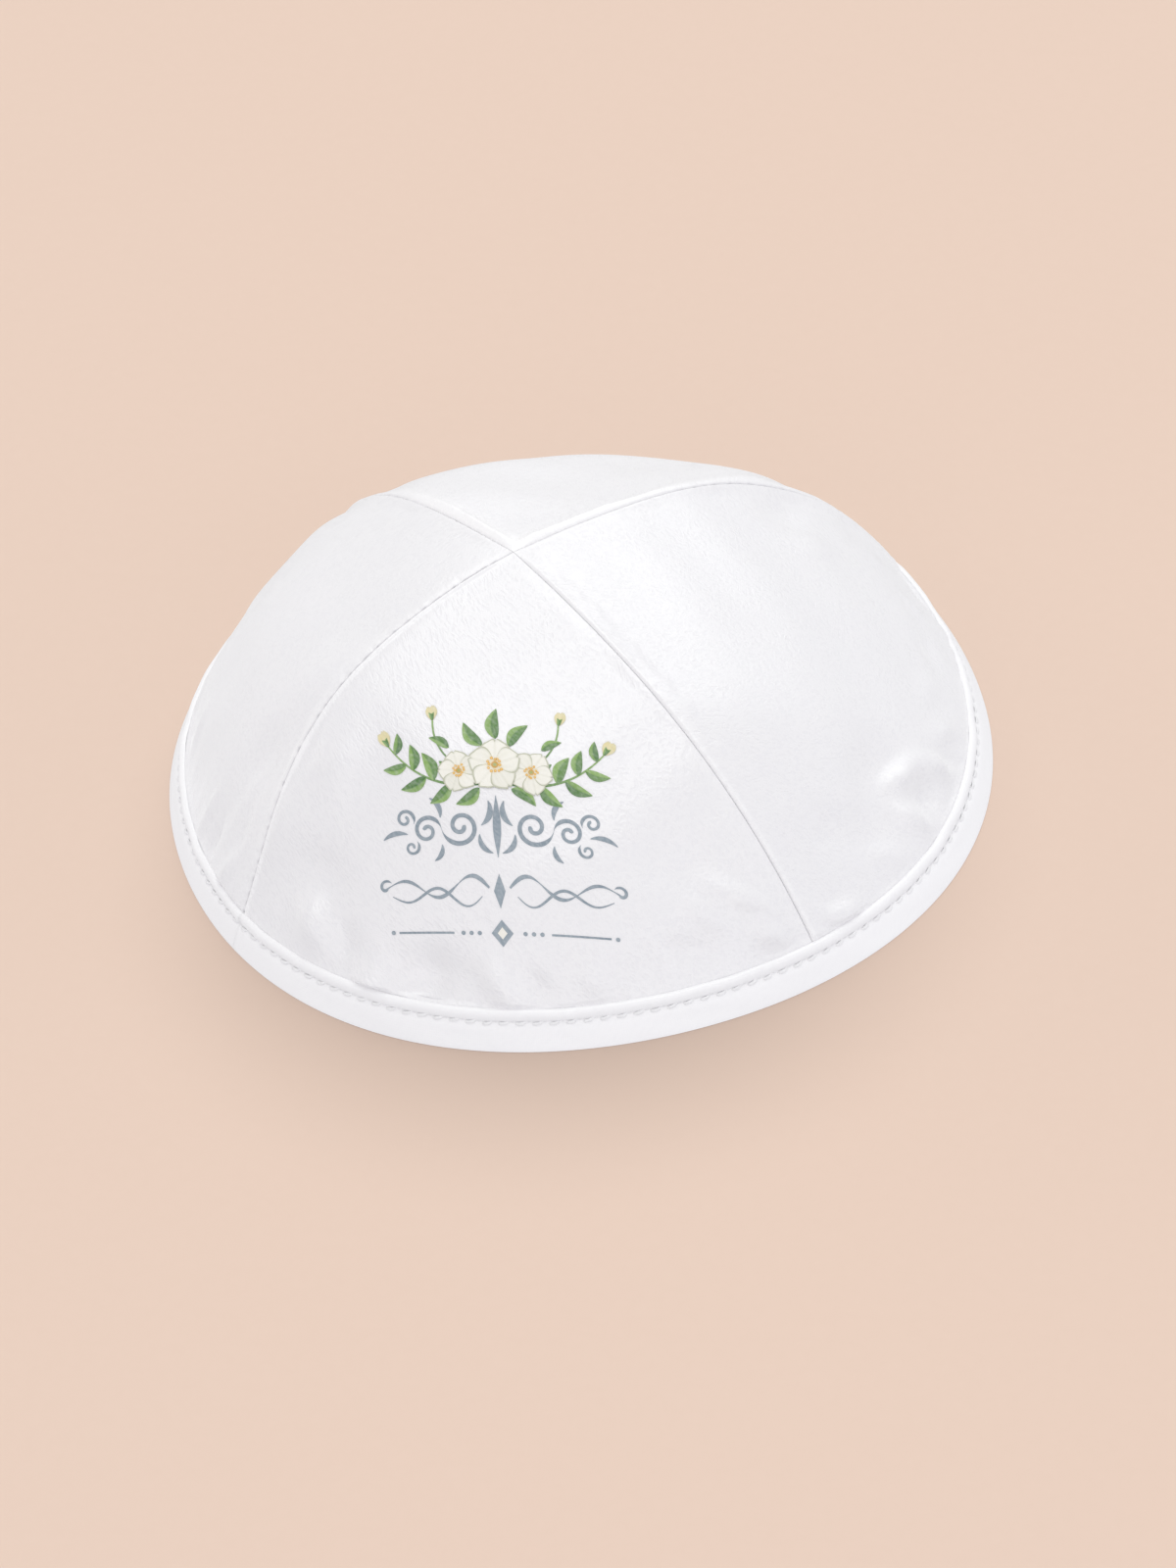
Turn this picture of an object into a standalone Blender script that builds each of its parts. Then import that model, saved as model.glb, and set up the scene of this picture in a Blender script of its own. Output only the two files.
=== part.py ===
# A sewn skullcap: four gores meet at the crown, and a folded strip binds the rim.
# Metres, +Z up through the crown, origin at the centre of the rim's base, where it
# rests. The front gore faces -Y. Seams are counted from the front left one, seen
# from the front: gore 0 lies between seams 0 and 1, and so on round to the left.

import math

import bpy
import numpy as np

# Crown
RIM_RADIUS = 0.0825
CROWN_HEIGHT = 0.0533
CROWN_LEAN = (-0.0084, 0.0007)  # the crown's top stands this far from above the rim's centre
LEAN_POWER = 2.0
GORE_WALL = 0.0012
SEAM_GAP = 0.0003
TIP_RADIUS = 0.0005         # the gores' blunt tips stop this far from the crown's top

# Seams: each gore's edge turns down into the seam and swells beside it
SEAM_DIP = 0.0004
SEAM_ROLL_WIDTH = 0.0026
SEAM_ROLL_RISE = 0.0006
ROLL_CREST = 0.45           # where the swelling is highest, as a share of its width
FOLD_FADE = 0.12            # the soft folds fade over this share of half a gore beside its seams

# Binding: a strip folded over the gores' lower edges, with a channel between its legs
BINDING_HEIGHT = 0.0074
BINDING_WALL = 0.0010
BINDING_PROUD = 0.0006      # outer leg's face beyond the crown's own line
INNER_LEG_HEIGHT = 0.0066
CHANNEL_GAP = 0.0003
FOLD_PUFF = 0.0005          # swelling of the upper fold above the stitch line
FOOT_EASE = 0.0003          # rounding beside the flat foot
TUCK_LENGTH = 0.0035        # height over which a gore bends inwards to enter the channel

# Mesh rows and columns
CROWN_ROWS = 19
HEM_ROWS = 3
GORE_COLUMNS = 20
BINDING_STEPS = 84

GORE_COUNT = 4
QUARTER = math.pi / 2

# Small steps that read the crown's slope: in gores across and in radians down
ACROSS_STEP = 0.02
DOWN_STEP = 0.001

# Near the tip a seam's gap and swelling take at most these shares of a gore
EDGE_LIMIT = 0.3
ROLL_LIMIT = 0.15

# The crown's profile, as shares of its round form, along a seam and along a gore's middle.
# polar: degrees down from the crown's top
PROFILE = (
    {"polar": 0.0, "seam": 1.000, "middle": 1.000},
    {"polar": 15.0, "seam": 1.000, "middle": 0.973},
    {"polar": 30.0, "seam": 1.004, "middle": 0.949},
    {"polar": 45.0, "seam": 0.981, "middle": 0.928},
    {"polar": 60.0, "seam": 0.952, "middle": 0.921},
    {"polar": 75.0, "seam": 0.952, "middle": 0.939},
    {"polar": 90.0, "seam": 1.000, "middle": 1.000},
)

# Each seam: its turn from the even quarter in degrees, and its own fullness at mid height.
# before, after: swelling on the gores on its two sides, as shares of SEAM_ROLL_RISE
SEAMS = (
    {"name": "front_left", "turn": -1.4, "full": -0.002, "before": 0.4, "after": 0.6},
    {"name": "front_right", "turn": -2.1, "full": -0.036, "before": 0.3, "after": 0.6},
    {"name": "back_right", "turn": -3.1, "full": 0.047, "before": 0.3, "after": 1.0},
    {"name": "back_left", "turn": 5.6, "full": -0.006, "before": 1.0, "after": 0.3},
)

GORES = (
    {"name": "panel_front", "full": 0.003, "colour": (0.93, 0.93, 0.95, 1.0)},
    {"name": "panel_right", "full": -0.008, "colour": (0.92, 0.92, 0.94, 1.0)},
    {"name": "panel_back", "full": -0.014, "colour": (0.91, 0.91, 0.94, 1.0)},
    {"name": "panel_left", "full": 0.018, "colour": (0.92, 0.92, 0.95, 1.0)},
)

# The rim isn't quite round: waves round it, as shares of its radius
RIM_WAVES = (
    {"lobes": 2, "cosine": 0.002, "sine": -0.004},
    {"lobes": 3, "cosine": -0.004, "sine": 0.003},
    {"lobes": 4, "cosine": 0.001, "sine": -0.012},
)

# Soft folds and dents. across: -1 to 1 over the gore; polar: degrees down from the top;
# length, width: shares of RIM_RADIUS; turn: degrees from straight down towards +across;
# rise: share of GORE_WALL, negative for a dent
FOLDS = (
    {"gore": 0, "across": -0.70, "polar": 73, "length": 0.08, "width": 0.050, "turn": 15, "rise": 0.7},
    {"gore": 0, "across": -0.55, "polar": 75, "length": 0.07, "width": 0.050, "turn": 30, "rise": -0.6},
    {"gore": 0, "across": -0.42, "polar": 77, "length": 0.07, "width": 0.050, "turn": 5, "rise": 0.8},
    {"gore": 0, "across": -0.03, "polar": 77, "length": 0.08, "width": 0.050, "turn": 27, "rise": 0.6},
    {"gore": 0, "across": 0.12, "polar": 77, "length": 0.07, "width": 0.050, "turn": 30, "rise": -0.5},
    {"gore": 0, "across": 0.80, "polar": 74, "length": 0.10, "width": 0.050, "turn": 47, "rise": 0.7},
    {"gore": 0, "across": 0.88, "polar": 67, "length": 0.10, "width": 0.060, "turn": 33, "rise": -0.5},
    {"gore": 1, "across": -0.83, "polar": 74, "length": 0.08, "width": 0.050, "turn": 67, "rise": 0.7},
    {"gore": 1, "across": -0.80, "polar": 78, "length": 0.05, "width": 0.050, "turn": 0, "rise": -0.5},
    {"gore": 1, "across": -0.32, "polar": 69, "length": 0.08, "width": 0.050, "turn": 75, "rise": 0.8},
    {"gore": 1, "across": -0.42, "polar": 75, "length": 0.08, "width": 0.050, "turn": 12, "rise": 0.6},
    {"gore": 1, "across": -0.24, "polar": 76, "length": 0.06, "width": 0.060, "turn": 20, "rise": -0.8},
    {"gore": 1, "across": 0.02, "polar": 75, "length": 0.07, "width": 0.050, "turn": 55, "rise": 0.5},
    {"gore": 1, "across": 0.37, "polar": 71, "length": 0.08, "width": 0.060, "turn": -80, "rise": -0.5},
    {"gore": 1, "across": 0.80, "polar": 40, "length": 0.08, "width": 0.080, "turn": 16, "rise": -0.8},
    {"gore": 2, "across": -0.45, "polar": 74, "length": 0.08, "width": 0.050, "turn": -15, "rise": 0.6},
    {"gore": 2, "across": 0.40, "polar": 75, "length": 0.08, "width": 0.050, "turn": 12, "rise": 0.6},
    {"gore": 3, "across": 0.76, "polar": 64, "length": 0.17, "width": 0.045, "turn": -7, "rise": 0.6},
    {"gore": 3, "across": 0.84, "polar": 71, "length": 0.12, "width": 0.045, "turn": 6, "rise": -0.5},
    {"gore": 3, "across": 0.66, "polar": 77, "length": 0.08, "width": 0.045, "turn": 0, "rise": -0.5},
    {"gore": 3, "across": 0.70, "polar": 47, "length": 0.10, "width": 0.050, "turn": 10, "rise": -0.4},
)

# The outer leg's face above the foot: heights as shares of BINDING_HEIGHT,
# puff as shares of FOLD_PUFF; the hollow is the stitch line
BINDING_FACE = (
    {"height": 0.34, "puff": 0.0},
    {"height": 0.62, "puff": 0.0},
    {"height": 0.70, "puff": -0.4},
    {"height": 0.78, "puff": 0.6},
    {"height": 0.87, "puff": 1.0},
    {"height": 0.95, "puff": 0.4},
)

GORE_ROUGHNESS = 0.34
BINDING_COLOUR = (0.95, 0.95, 0.96, 1.0)
BINDING_ROUGHNESS = 0.38


def smooth_step(value):
    """Eases from 0 to 1."""
    held = np.clip(value, 0.0, 1.0)
    return held * held * (3.0 - 2.0 * held)


def read_profile(column, polar):
    """Reads a column of PROFILE at the polar angles, as a curve through its rows."""
    at = np.radians([row["polar"] for row in PROFILE])
    values = np.array([row[column] for row in PROFILE])
    slopes = np.gradient(values, at)
    slopes[0] = 0.0
    place = np.clip(np.searchsorted(at, polar) - 1, 0, len(at) - 2)
    span = at[place + 1] - at[place]
    t = (polar - at[place]) / span
    rise = values[place + 1] - values[place]
    return (values[place] + rise * t * t * (3.0 - 2.0 * t)
            + span * t * (1.0 - t) * (slopes[place] * (1.0 - t) - slopes[place + 1] * t))


def rim_wave(turn):
    """The radius at an angle round the rim, as a share of RIM_RADIUS."""
    share = np.ones_like(turn)
    for wave in RIM_WAVES:
        share += wave["cosine"] * np.cos(wave["lobes"] * turn)
        share += wave["sine"] * np.sin(wave["lobes"] * turn)
    return share


def raw_crown(around, polar):
    """
    The crown's outer line. around counts gores from the front left seam, polar runs
    from 0 at the top to a quarter turn at the rim. Between two seams each level is a
    circular arc, flatter than the round cap through the seams.
    """
    around, polar = np.broadcast_arrays(np.mod(around, GORE_COUNT), polar)
    gore = np.floor(around).astype(int) % GORE_COUNT
    after = (gore + 1) % GORE_COUNT
    share = around - np.floor(around)
    across = 2.0 * share - 1.0

    swell = np.sin(2.0 * polar) ** 2
    seam_full = np.array([seam["full"] for seam in SEAMS])
    gore_full = np.array([row["full"] for row in GORES])
    seam = read_profile("seam", polar)
    seam = seam * (1.0 + swell * (seam_full[gore] * (1.0 - share) + seam_full[after] * share))
    middle = read_profile("middle", polar) * (1.0 + swell * gore_full[gore])

    seam_reach = seam * np.sin(polar)
    middle_reach = middle * np.sin(polar)
    half_chord = seam_reach * math.sin(QUARTER / 2)
    chord_reach = seam_reach * math.cos(QUARTER / 2)
    belly = np.maximum(middle_reach - chord_reach, 1e-6)
    arc = (half_chord ** 2 + belly ** 2) / (2.0 * belly)
    half_angle = np.arctan2(half_chord, arc - belly)
    sideways = arc * np.sin(half_angle * across)
    outwards = middle_reach - arc + arc * np.cos(half_angle * across)
    level = np.cos(polar) * (middle * (1.0 - across ** 2) + seam * across ** 2)

    turns = np.radians([seam_row["turn"] for seam_row in SEAMS])
    start = (gore - 0.5) * QUARTER + turns[gore]
    end = (gore + 0.5) * QUARTER + turns[after]
    turn = start + (end - start) * (np.arctan2(sideways, outwards) / QUARTER + 0.5)
    reach = RIM_RADIUS * rim_wave(turn) * np.hypot(sideways, outwards)
    lean = np.clip(level, 0.0, 1.0) ** LEAN_POWER
    right = reach * np.sin(turn) + CROWN_LEAN[0] * lean
    back = -reach * np.cos(turn) + CROWN_LEAN[1] * lean
    return np.stack([right, back, CROWN_HEIGHT * level], axis=-1)


def rim_centre():
    """The middle of the rim's extent, which goes to the origin."""
    rim = raw_crown(np.linspace(0, GORE_COUNT, 4 * BINDING_STEPS), QUARTER)
    middle = (rim.min(axis=0) + rim.max(axis=0)) / 2
    return middle * (1.0, 1.0, 0.0)


def crown(around, polar):
    """The crown's outer line with the rim centred on the origin."""
    return raw_crown(around, polar) - rim_centre()


def unit(vectors):
    """Vectors of length one."""
    return vectors / np.linalg.norm(vectors, axis=-1, keepdims=True)


def crown_normal(around, polar):
    """The crown's outward direction; at a seam it halves the angle between the gores."""
    along = crown(around + ACROSS_STEP, polar) - crown(around - ACROSS_STEP, polar)
    low = np.minimum(polar + DOWN_STEP, QUARTER)
    down = crown(around, low) - crown(around, low - 2.0 * DOWN_STEP)
    return unit(np.cross(down, along))


def band_point(around, rise, out):
    """A point beside the straight band at the rim: its height, and its way out from the band."""
    fold_polar = math.acos(BINDING_HEIGHT / CROWN_HEIGHT)
    foot = crown(around, QUARTER)
    up = unit(crown(around, fold_polar) - foot)
    along = crown(around + ACROSS_STEP, QUARTER) - crown(around - ACROSS_STEP, QUARTER)
    normal = unit(np.cross(along, up))
    climb = (rise - out * normal[..., 2]) / up[..., 2]
    return foot + up * climb[..., None] + normal * np.asarray(out)[..., None]


def fold_rise(around, polar):
    """The height of the soft folds and dents over the crown."""
    gore = np.floor(around).astype(int)
    across = 2.0 * (around - gore) - 1.0
    fade = smooth_step((1.0 - np.abs(across)) / FOLD_FADE)
    total = np.zeros_like(around * polar)
    for row in FOLDS:
        centre = math.radians(row["polar"])
        turn = math.radians(row["turn"])
        side = (across - row["across"]) * math.sin(centre) * QUARTER / 2
        down = (polar - centre) * (1.0 + CROWN_HEIGHT / RIM_RADIUS) / 2
        lengthwise = down * math.cos(turn) + side * math.sin(turn)
        widthwise = side * math.cos(turn) - down * math.sin(turn)
        bump = np.exp(-(lengthwise / row["length"]) ** 2 - (widthwise / row["width"]) ** 2)
        total += np.where(gore % GORE_COUNT == row["gore"], row["rise"] * GORE_WALL * bump, 0.0)
    return total * fade


def gore_columns(index, polar):
    """The columns of one gore at each level, and how far each is raised beside its seams."""
    before, after = SEAMS[index], SEAMS[(index + 1) % GORE_COUNT]
    step = crown(index + 2.0 * ACROSS_STEP, polar) - crown(index + ACROSS_STEP, polar)
    speed = np.linalg.norm(step, axis=-1) / ACROSS_STEP
    edge = np.minimum(SEAM_GAP / 2 / speed, EDGE_LIMIT)[:, None]
    roll = np.minimum(SEAM_ROLL_WIDTH / speed, ROLL_LIMIT)[:, None]
    scale = roll * speed[:, None] / SEAM_ROLL_WIDTH
    inner = np.linspace(0.0, 1.0, GORE_COLUMNS)[None, :]
    inner = edge + roll + inner * (1.0 - 2.0 * (edge + roll))
    crest = edge + roll * ROLL_CREST
    columns = np.hstack([edge, crest, inner, 1.0 - crest, 1.0 - edge])
    raised = np.zeros_like(columns)
    raised[:, [0, -1]] = -SEAM_DIP
    raised[:, 1] = SEAM_ROLL_RISE * before["after"]
    raised[:, -2] = SEAM_ROLL_RISE * after["before"]
    return index + columns, raised * scale


def gore_sheet(index, out):
    """One face of a gore, as rows of points from its tip to its hem inside the binding."""
    tuck = BINDING_WALL + CHANNEL_GAP - BINDING_PROUD
    hem_rise = BINDING_WALL + CHANNEL_GAP
    last_polar = math.acos((BINDING_HEIGHT + TUCK_LENGTH / 3) / CROWN_HEIGHT)
    bend_polar = math.acos((BINDING_HEIGHT + TUCK_LENGTH) / CROWN_HEIGHT)
    fold_polar = math.acos(BINDING_HEIGHT / CROWN_HEIGHT)
    polar = np.linspace(math.asin(TIP_RADIUS / RIM_RADIUS), last_polar, CROWN_ROWS)
    around, raised = gore_columns(index, polar)
    level = polar[:, None]
    bend = smooth_step((level - bend_polar) / (fold_polar - bend_polar))
    lift = (fold_rise(around, level) + raised) * (1.0 - bend) + out - tuck * bend
    dome = crown(around, level) + crown_normal(around, level) * lift[..., None]
    rises = np.linspace(BINDING_HEIGHT, hem_rise, HEM_ROWS)
    hem = band_point(around[-1:], rises[:, None], np.full((HEM_ROWS, 1), out - tuck))
    return np.concatenate([dome, hem])


def mesh_object(name, points, faces, colour, roughness):
    """A smooth-shaded object from points and faces, with its own satin material."""
    mesh = bpy.data.meshes.new(name)
    mesh.from_pydata([tuple(point) for point in points], [], faces)
    mesh.validate()
    mesh.shade_smooth()
    mesh.set_sharp_from_angle(angle=math.radians(40))
    material = bpy.data.materials.new(name + "_satin")
    material.use_nodes = True
    shader = material.node_tree.nodes["Principled BSDF"]
    shader.inputs["Base Color"].default_value = colour
    shader.inputs["Roughness"].default_value = roughness
    mesh.materials.append(material)
    piece = bpy.data.objects.new(name, mesh)
    bpy.context.collection.objects.link(piece)
    return piece


def strip_faces(rows):
    """Quads between pairs of point rows, given as lists of indices; each row follows the last."""
    faces = []
    for first, second in zip(rows[:-1], rows[1:]):
        for near, far in zip(range(len(first) - 1), range(1, len(first))):
            faces.append((first[near], second[near], second[far], first[far]))
    return faces


def make_gore(index):
    """A gore: an outer and an inner sheet joined round their edges."""
    outer = gore_sheet(index, 0.0)
    inner = gore_sheet(index, -GORE_WALL)
    rows, columns = outer.shape[:2]
    front = np.arange(rows * columns).reshape(rows, columns)
    back = front + rows * columns
    # the sheet goes round: outer face across, over the edge, and the inner face back
    loop = np.hstack([front, back[:, ::-1], front[:, :1]])
    faces = strip_faces(loop.tolist())
    faces += strip_faces([back[0].tolist(), front[0].tolist()])
    faces += strip_faces([front[-1].tolist(), back[-1].tolist()])
    points = np.concatenate([outer.reshape(-1, 3), inner.reshape(-1, 3)])
    row = GORES[index]
    return mesh_object(row["name"], points, faces, row["colour"], GORE_ROUGHNESS)


def binding_outline():
    """The strip's closed outline as heights and ways out from the band, foot first."""
    outer = BINDING_PROUD
    channel_outer = outer - BINDING_WALL
    channel_inner = channel_outer - GORE_WALL - 2.0 * CHANNEL_GAP
    inner = channel_inner - BINDING_WALL
    ease = BINDING_WALL / 3
    face = [(BINDING_HEIGHT * row["height"], outer + FOLD_PUFF * row["puff"]) for row in BINDING_FACE]
    return np.array([
        (0.0, outer - FOOT_EASE),
        (FOOT_EASE, outer),
        *face,
        (BINDING_HEIGHT, outer - ease),
        (BINDING_HEIGHT - ease, channel_outer),
        (BINDING_WALL, channel_outer),
        (BINDING_WALL, channel_inner),
        (INNER_LEG_HEIGHT - ease, channel_inner),
        (INNER_LEG_HEIGHT, channel_inner - BINDING_WALL / 2),
        (INNER_LEG_HEIGHT - ease, inner),
        (FOOT_EASE, inner),
        (0.0, inner + FOOT_EASE),
    ])


def make_binding():
    """The binding: its outline carried round the rim."""
    around = np.linspace(0, GORE_COUNT, BINDING_STEPS, endpoint=False)[:, None]
    height, out = binding_outline().T
    rings = band_point(around, height, np.broadcast_to(out, (BINDING_STEPS, len(out))))
    steps, corners = rings.shape[:2]
    grid = np.arange(steps * corners).reshape(steps, corners)
    grid = np.hstack([grid, grid[:, :1]])
    grid = np.vstack([grid, grid[:1]])
    faces = strip_faces(grid.tolist())
    return mesh_object("rim_binding", rings.reshape(-1, 3), faces, BINDING_COLOUR, BINDING_ROUGHNESS)


def main():
    for thing in list(bpy.data.objects):
        bpy.data.objects.remove(thing, do_unlink=True)
    for index in range(GORE_COUNT):
        make_gore(index)
    make_binding()


main()
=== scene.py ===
from math import acos, asin, atan2, cos, degrees, pi, radians, sin, sqrt
import bpy
import numpy as np
from mathutils import Matrix, Vector


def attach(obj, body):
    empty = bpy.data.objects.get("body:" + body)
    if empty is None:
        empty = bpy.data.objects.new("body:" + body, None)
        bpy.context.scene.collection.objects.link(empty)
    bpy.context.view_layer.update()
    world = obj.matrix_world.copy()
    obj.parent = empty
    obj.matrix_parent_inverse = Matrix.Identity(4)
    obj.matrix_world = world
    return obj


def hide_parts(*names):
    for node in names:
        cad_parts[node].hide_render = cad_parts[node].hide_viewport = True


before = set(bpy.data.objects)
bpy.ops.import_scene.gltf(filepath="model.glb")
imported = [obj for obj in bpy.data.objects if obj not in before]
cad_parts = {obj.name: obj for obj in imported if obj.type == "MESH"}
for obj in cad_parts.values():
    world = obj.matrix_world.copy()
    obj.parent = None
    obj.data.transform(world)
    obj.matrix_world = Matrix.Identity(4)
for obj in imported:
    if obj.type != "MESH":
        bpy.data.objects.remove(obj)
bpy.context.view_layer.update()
print("frame loaded, nodes:", sorted(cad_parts))

# the cap's own line: the same sizes, rows and waves as its solids have, in metres and degrees
cap = {
    "rimRadius": 0.0825, "crownHeight": 0.0533,
    "lean": (-0.0084, 0.0007),
    "leanPower": 2.0, "bandHeight": 0.0074,
    "polar": (0, 15, 30, 45, 60, 75, 90),
    "seamLine": (1, 1.000, 1.004, 0.981, 0.952, 0.952, 1),
    "middleLine": (1, 0.973, 0.949, 0.928, 0.921, 0.939, 1),
    "seamTurn": (-1.4, -2.1, -3.1, 5.6),
    "seamFull": (-0.002, -0.036, 0.047, -0.006),
    "goreFull": (0.003, -0.008, -0.014, 0.018),
    "waveLobes": (2, 3, 4),
    "waveCosine": (0.002, -0.004, 0.001),
    "waveSine": (-0.004, 0.003, -0.012),
    "leastBelly": 1e-7, "acrossStep": 0.02, "downStep": 0.002, "rimSteps": 337,
}
gores = 4
quarter = pi / 2
circle = 2 * pi
millimetre = 0.001


# eases from 0 to 1: three squares less two cubes
def smoothStep(value):
    held = np.clip(value, 0, 1)
    return held * held * (3 - 2 * held)


# a bell of height one: e to the minus square
def bell(distance, width):
    return np.exp(-(distance / width) ** 2)


# vectors made one long: each is divided by its length
def unit(vectors):
    return vectors / np.linalg.norm(vectors, axis=-1, keepdims=True)


# how far along a line each of its points lies: the sum of the steps before it
def lengthsAlong(line):
    return np.concatenate([[0], np.cumsum(np.linalg.norm(np.diff(line, axis=0), axis=1))])


# the cubic curve through a table's rows whose bend changes evenly, flat at its start and
# unbent at its end: solves for the bend at each row, then reads between two rows
def evenCurve(at, rows, where):
    count = len(at)
    step = np.diff(at)
    slope = np.diff(rows) / step
    system = np.zeros((count, count))
    right = np.zeros(count)
    system[0, :2] = 2 * step[0], step[0]
    right[0] = 6 * slope[0]
    system[-1, -1] = 1
    for row in range(1, count - 1):
        system[row, row - 1:row + 2] = step[row - 1], 2 * (step[row - 1] + step[row]), step[row]
        right[row] = 6 * (slope[row] - slope[row - 1])
    bend = np.linalg.solve(system, right)
    place = np.clip(np.searchsorted(at, where) - 1, 0, count - 2)
    gone = where - at[place]
    first = slope[place] - step[place] * (2 * bend[place] + bend[place + 1]) / 6
    third = (bend[place + 1] - bend[place]) / (6 * step[place])
    return rows[place] + gone * (first + gone * (bend[place] / 2 + gone * third))


polarRows = np.radians(np.array(cap["polar"], float))
seamRows = np.array(cap["seamLine"], float)
middleRows = np.array(cap["middleLine"], float)


# the crown's outer line: around counts gores from the front left seam, polar runs from the
# top to the rim; each level is a circular arc between two seams, on a leaning round cap
def rawCrown(around, polar):
    around, polar = np.broadcast_arrays(np.mod(around, gores), polar)
    gore = np.floor(around).astype(int) % gores
    after = (gore + 1) % gores
    share = around - np.floor(around)
    across = 2 * share - 1
    swell = np.sin(2 * polar) ** 2
    seamFull, goreFull = np.array(cap["seamFull"]), np.array(cap["goreFull"])
    seam = evenCurve(polarRows, seamRows, polar)
    seam = seam * (1 + swell * (seamFull[gore] * (1 - share) + seamFull[after] * share))
    middle = evenCurve(polarRows, middleRows, polar) * (1 + swell * goreFull[gore])
    seamReach, middleReach = seam * np.sin(polar), middle * np.sin(polar)
    halfChord = seamReach * sin(quarter / 2)
    chordReach = seamReach * cos(quarter / 2)
    belly = np.maximum(middleReach - chordReach, cap["leastBelly"])
    arc = (halfChord ** 2 + belly ** 2) / (2 * belly)
    halfAngle = np.arctan2(halfChord, arc - belly)
    sideways = arc * np.sin(halfAngle * across)
    outwards = middleReach - arc + arc * np.cos(halfAngle * across)
    level = np.cos(polar) * (middle * (1 - across ** 2) + seam * across ** 2)
    turns = np.radians(cap["seamTurn"])
    start = (gore - 0.5) * quarter + turns[gore]
    end = (gore + 0.5) * quarter + turns[after]
    turn = start + (end - start) * (np.arctan2(sideways, outwards) / quarter + 0.5)
    wave = np.ones_like(turn)
    for lobes, cosine, sine in zip(cap["waveLobes"], cap["waveCosine"], cap["waveSine"]):
        wave += cosine * np.cos(lobes * turn) + sine * np.sin(lobes * turn)
    reach = cap["rimRadius"] * wave * np.hypot(sideways, outwards)
    lean = np.clip(level, 0, 1) ** cap["leanPower"]
    right = reach * np.sin(turn) + cap["lean"][0] * lean
    back = -reach * np.cos(turn) + cap["lean"][1] * lean
    return np.stack([right, back, cap["crownHeight"] * level], axis=-1)


rimLine = rawCrown(np.linspace(0, gores, cap["rimSteps"]), np.array(quarter))
rimCentre = (rimLine.min(axis=0) + rimLine.max(axis=0)) / 2 * (1, 1, 0)
bandFold = acos(cap["bandHeight"] / cap["crownHeight"])  # where the binding's top lies, as a polar angle


# the same line, moved so that the middle of the rim's box lies at the origin
def crown(around, polar):
    return rawCrown(around, polar) - rimCentre


# the crown's way out: across the slopes along and down; it halves the corner at a seam
def crownNormal(around, polar):
    step, fall = cap["acrossStep"], cap["downStep"]
    along = crown(around + step, polar) - crown(around - step, polar)
    low = np.minimum(polar + fall, quarter)
    down = crown(around, low) - crown(around, low - 2 * fall)
    return unit(np.cross(down, along))


# a point beside the straight band at the rim, from its height and its way out of the band
def bandPoint(around, height, out):
    foot = crown(around, np.array(quarter))
    up = unit(crown(around, np.array(bandFold)) - foot)
    step = cap["acrossStep"]
    along = crown(around + step, np.array(quarter)) - crown(around - step, np.array(quarter))
    normal = unit(np.cross(along, up))
    climb = (height - out * normal[..., 2]) / up[..., 2]
    return foot + up * climb[..., None] + normal * np.asarray(out)[..., None]


# an uneven wave along a length: sines of the given wavelengths with seeded phases, about -1 to 1
def unevenWave(length, wavelengths, seed):
    phases = np.random.default_rng(seed).uniform(0, circle, len(wavelengths))
    total = sum(np.sin(circle * length / wave + phase) for wave, phase in zip(wavelengths, phases))
    return total / sqrt(len(wavelengths))


# soft unevenness over a surface: sines in seeded directions, each with its own wavelength
def unevenField(x, y, wavelengths, seed):
    draw = np.random.default_rng(seed)
    total = np.zeros_like(x * y)
    for wave in wavelengths:
        turn, phase = draw.uniform(0, pi), draw.uniform(0, circle)
        total += np.sin(circle * (x * cos(turn) + y * sin(turn)) / wave + phase)
    return total / sqrt(len(wavelengths))


# puts points and faces into a smooth mesh object, with a UV map of lengths on the cloth
def meshPiece(name, points, faces, materials, uv=None, faceMaterial=None, sharp=50):
    mesh = bpy.data.meshes.new(name)
    points = np.asarray(points, np.float32).reshape(-1, 3)
    faces = np.asarray(faces, np.int32)
    count, corners = faces.shape
    mesh.vertices.add(len(points))
    mesh.vertices.foreach_set("co", points.ravel())
    mesh.loops.add(count * corners)
    mesh.loops.foreach_set("vertex_index", faces.ravel())
    mesh.polygons.add(count)
    mesh.polygons.foreach_set("loop_start", np.arange(0, count * corners, corners, dtype=np.int32))
    if uv is not None:
        layer = mesh.uv_layers.new(name="cloth")
        layer.data.foreach_set("uv", np.asarray(uv, np.float32).reshape(-1, 2)[faces.ravel()].ravel())
    for material in materials:
        mesh.materials.append(material)
    if faceMaterial is not None:
        mesh.polygons.foreach_set("material_index", np.asarray(faceMaterial, np.int32))
    mesh.update(calc_edges=True)
    mesh.validate()
    mesh.shade_smooth()
    mesh.set_sharp_from_angle(angle=radians(sharp))
    piece = bpy.data.objects.new(name, mesh)
    bpy.context.collection.objects.link(piece)
    return piece


# quads between neighbouring rows and columns of a grid of point numbers
def gridFaces(grid):
    return np.stack([grid[:-1, :-1], grid[1:, :-1], grid[1:, 1:], grid[:-1, 1:]], axis=-1).reshape(-1, 4)


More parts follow.
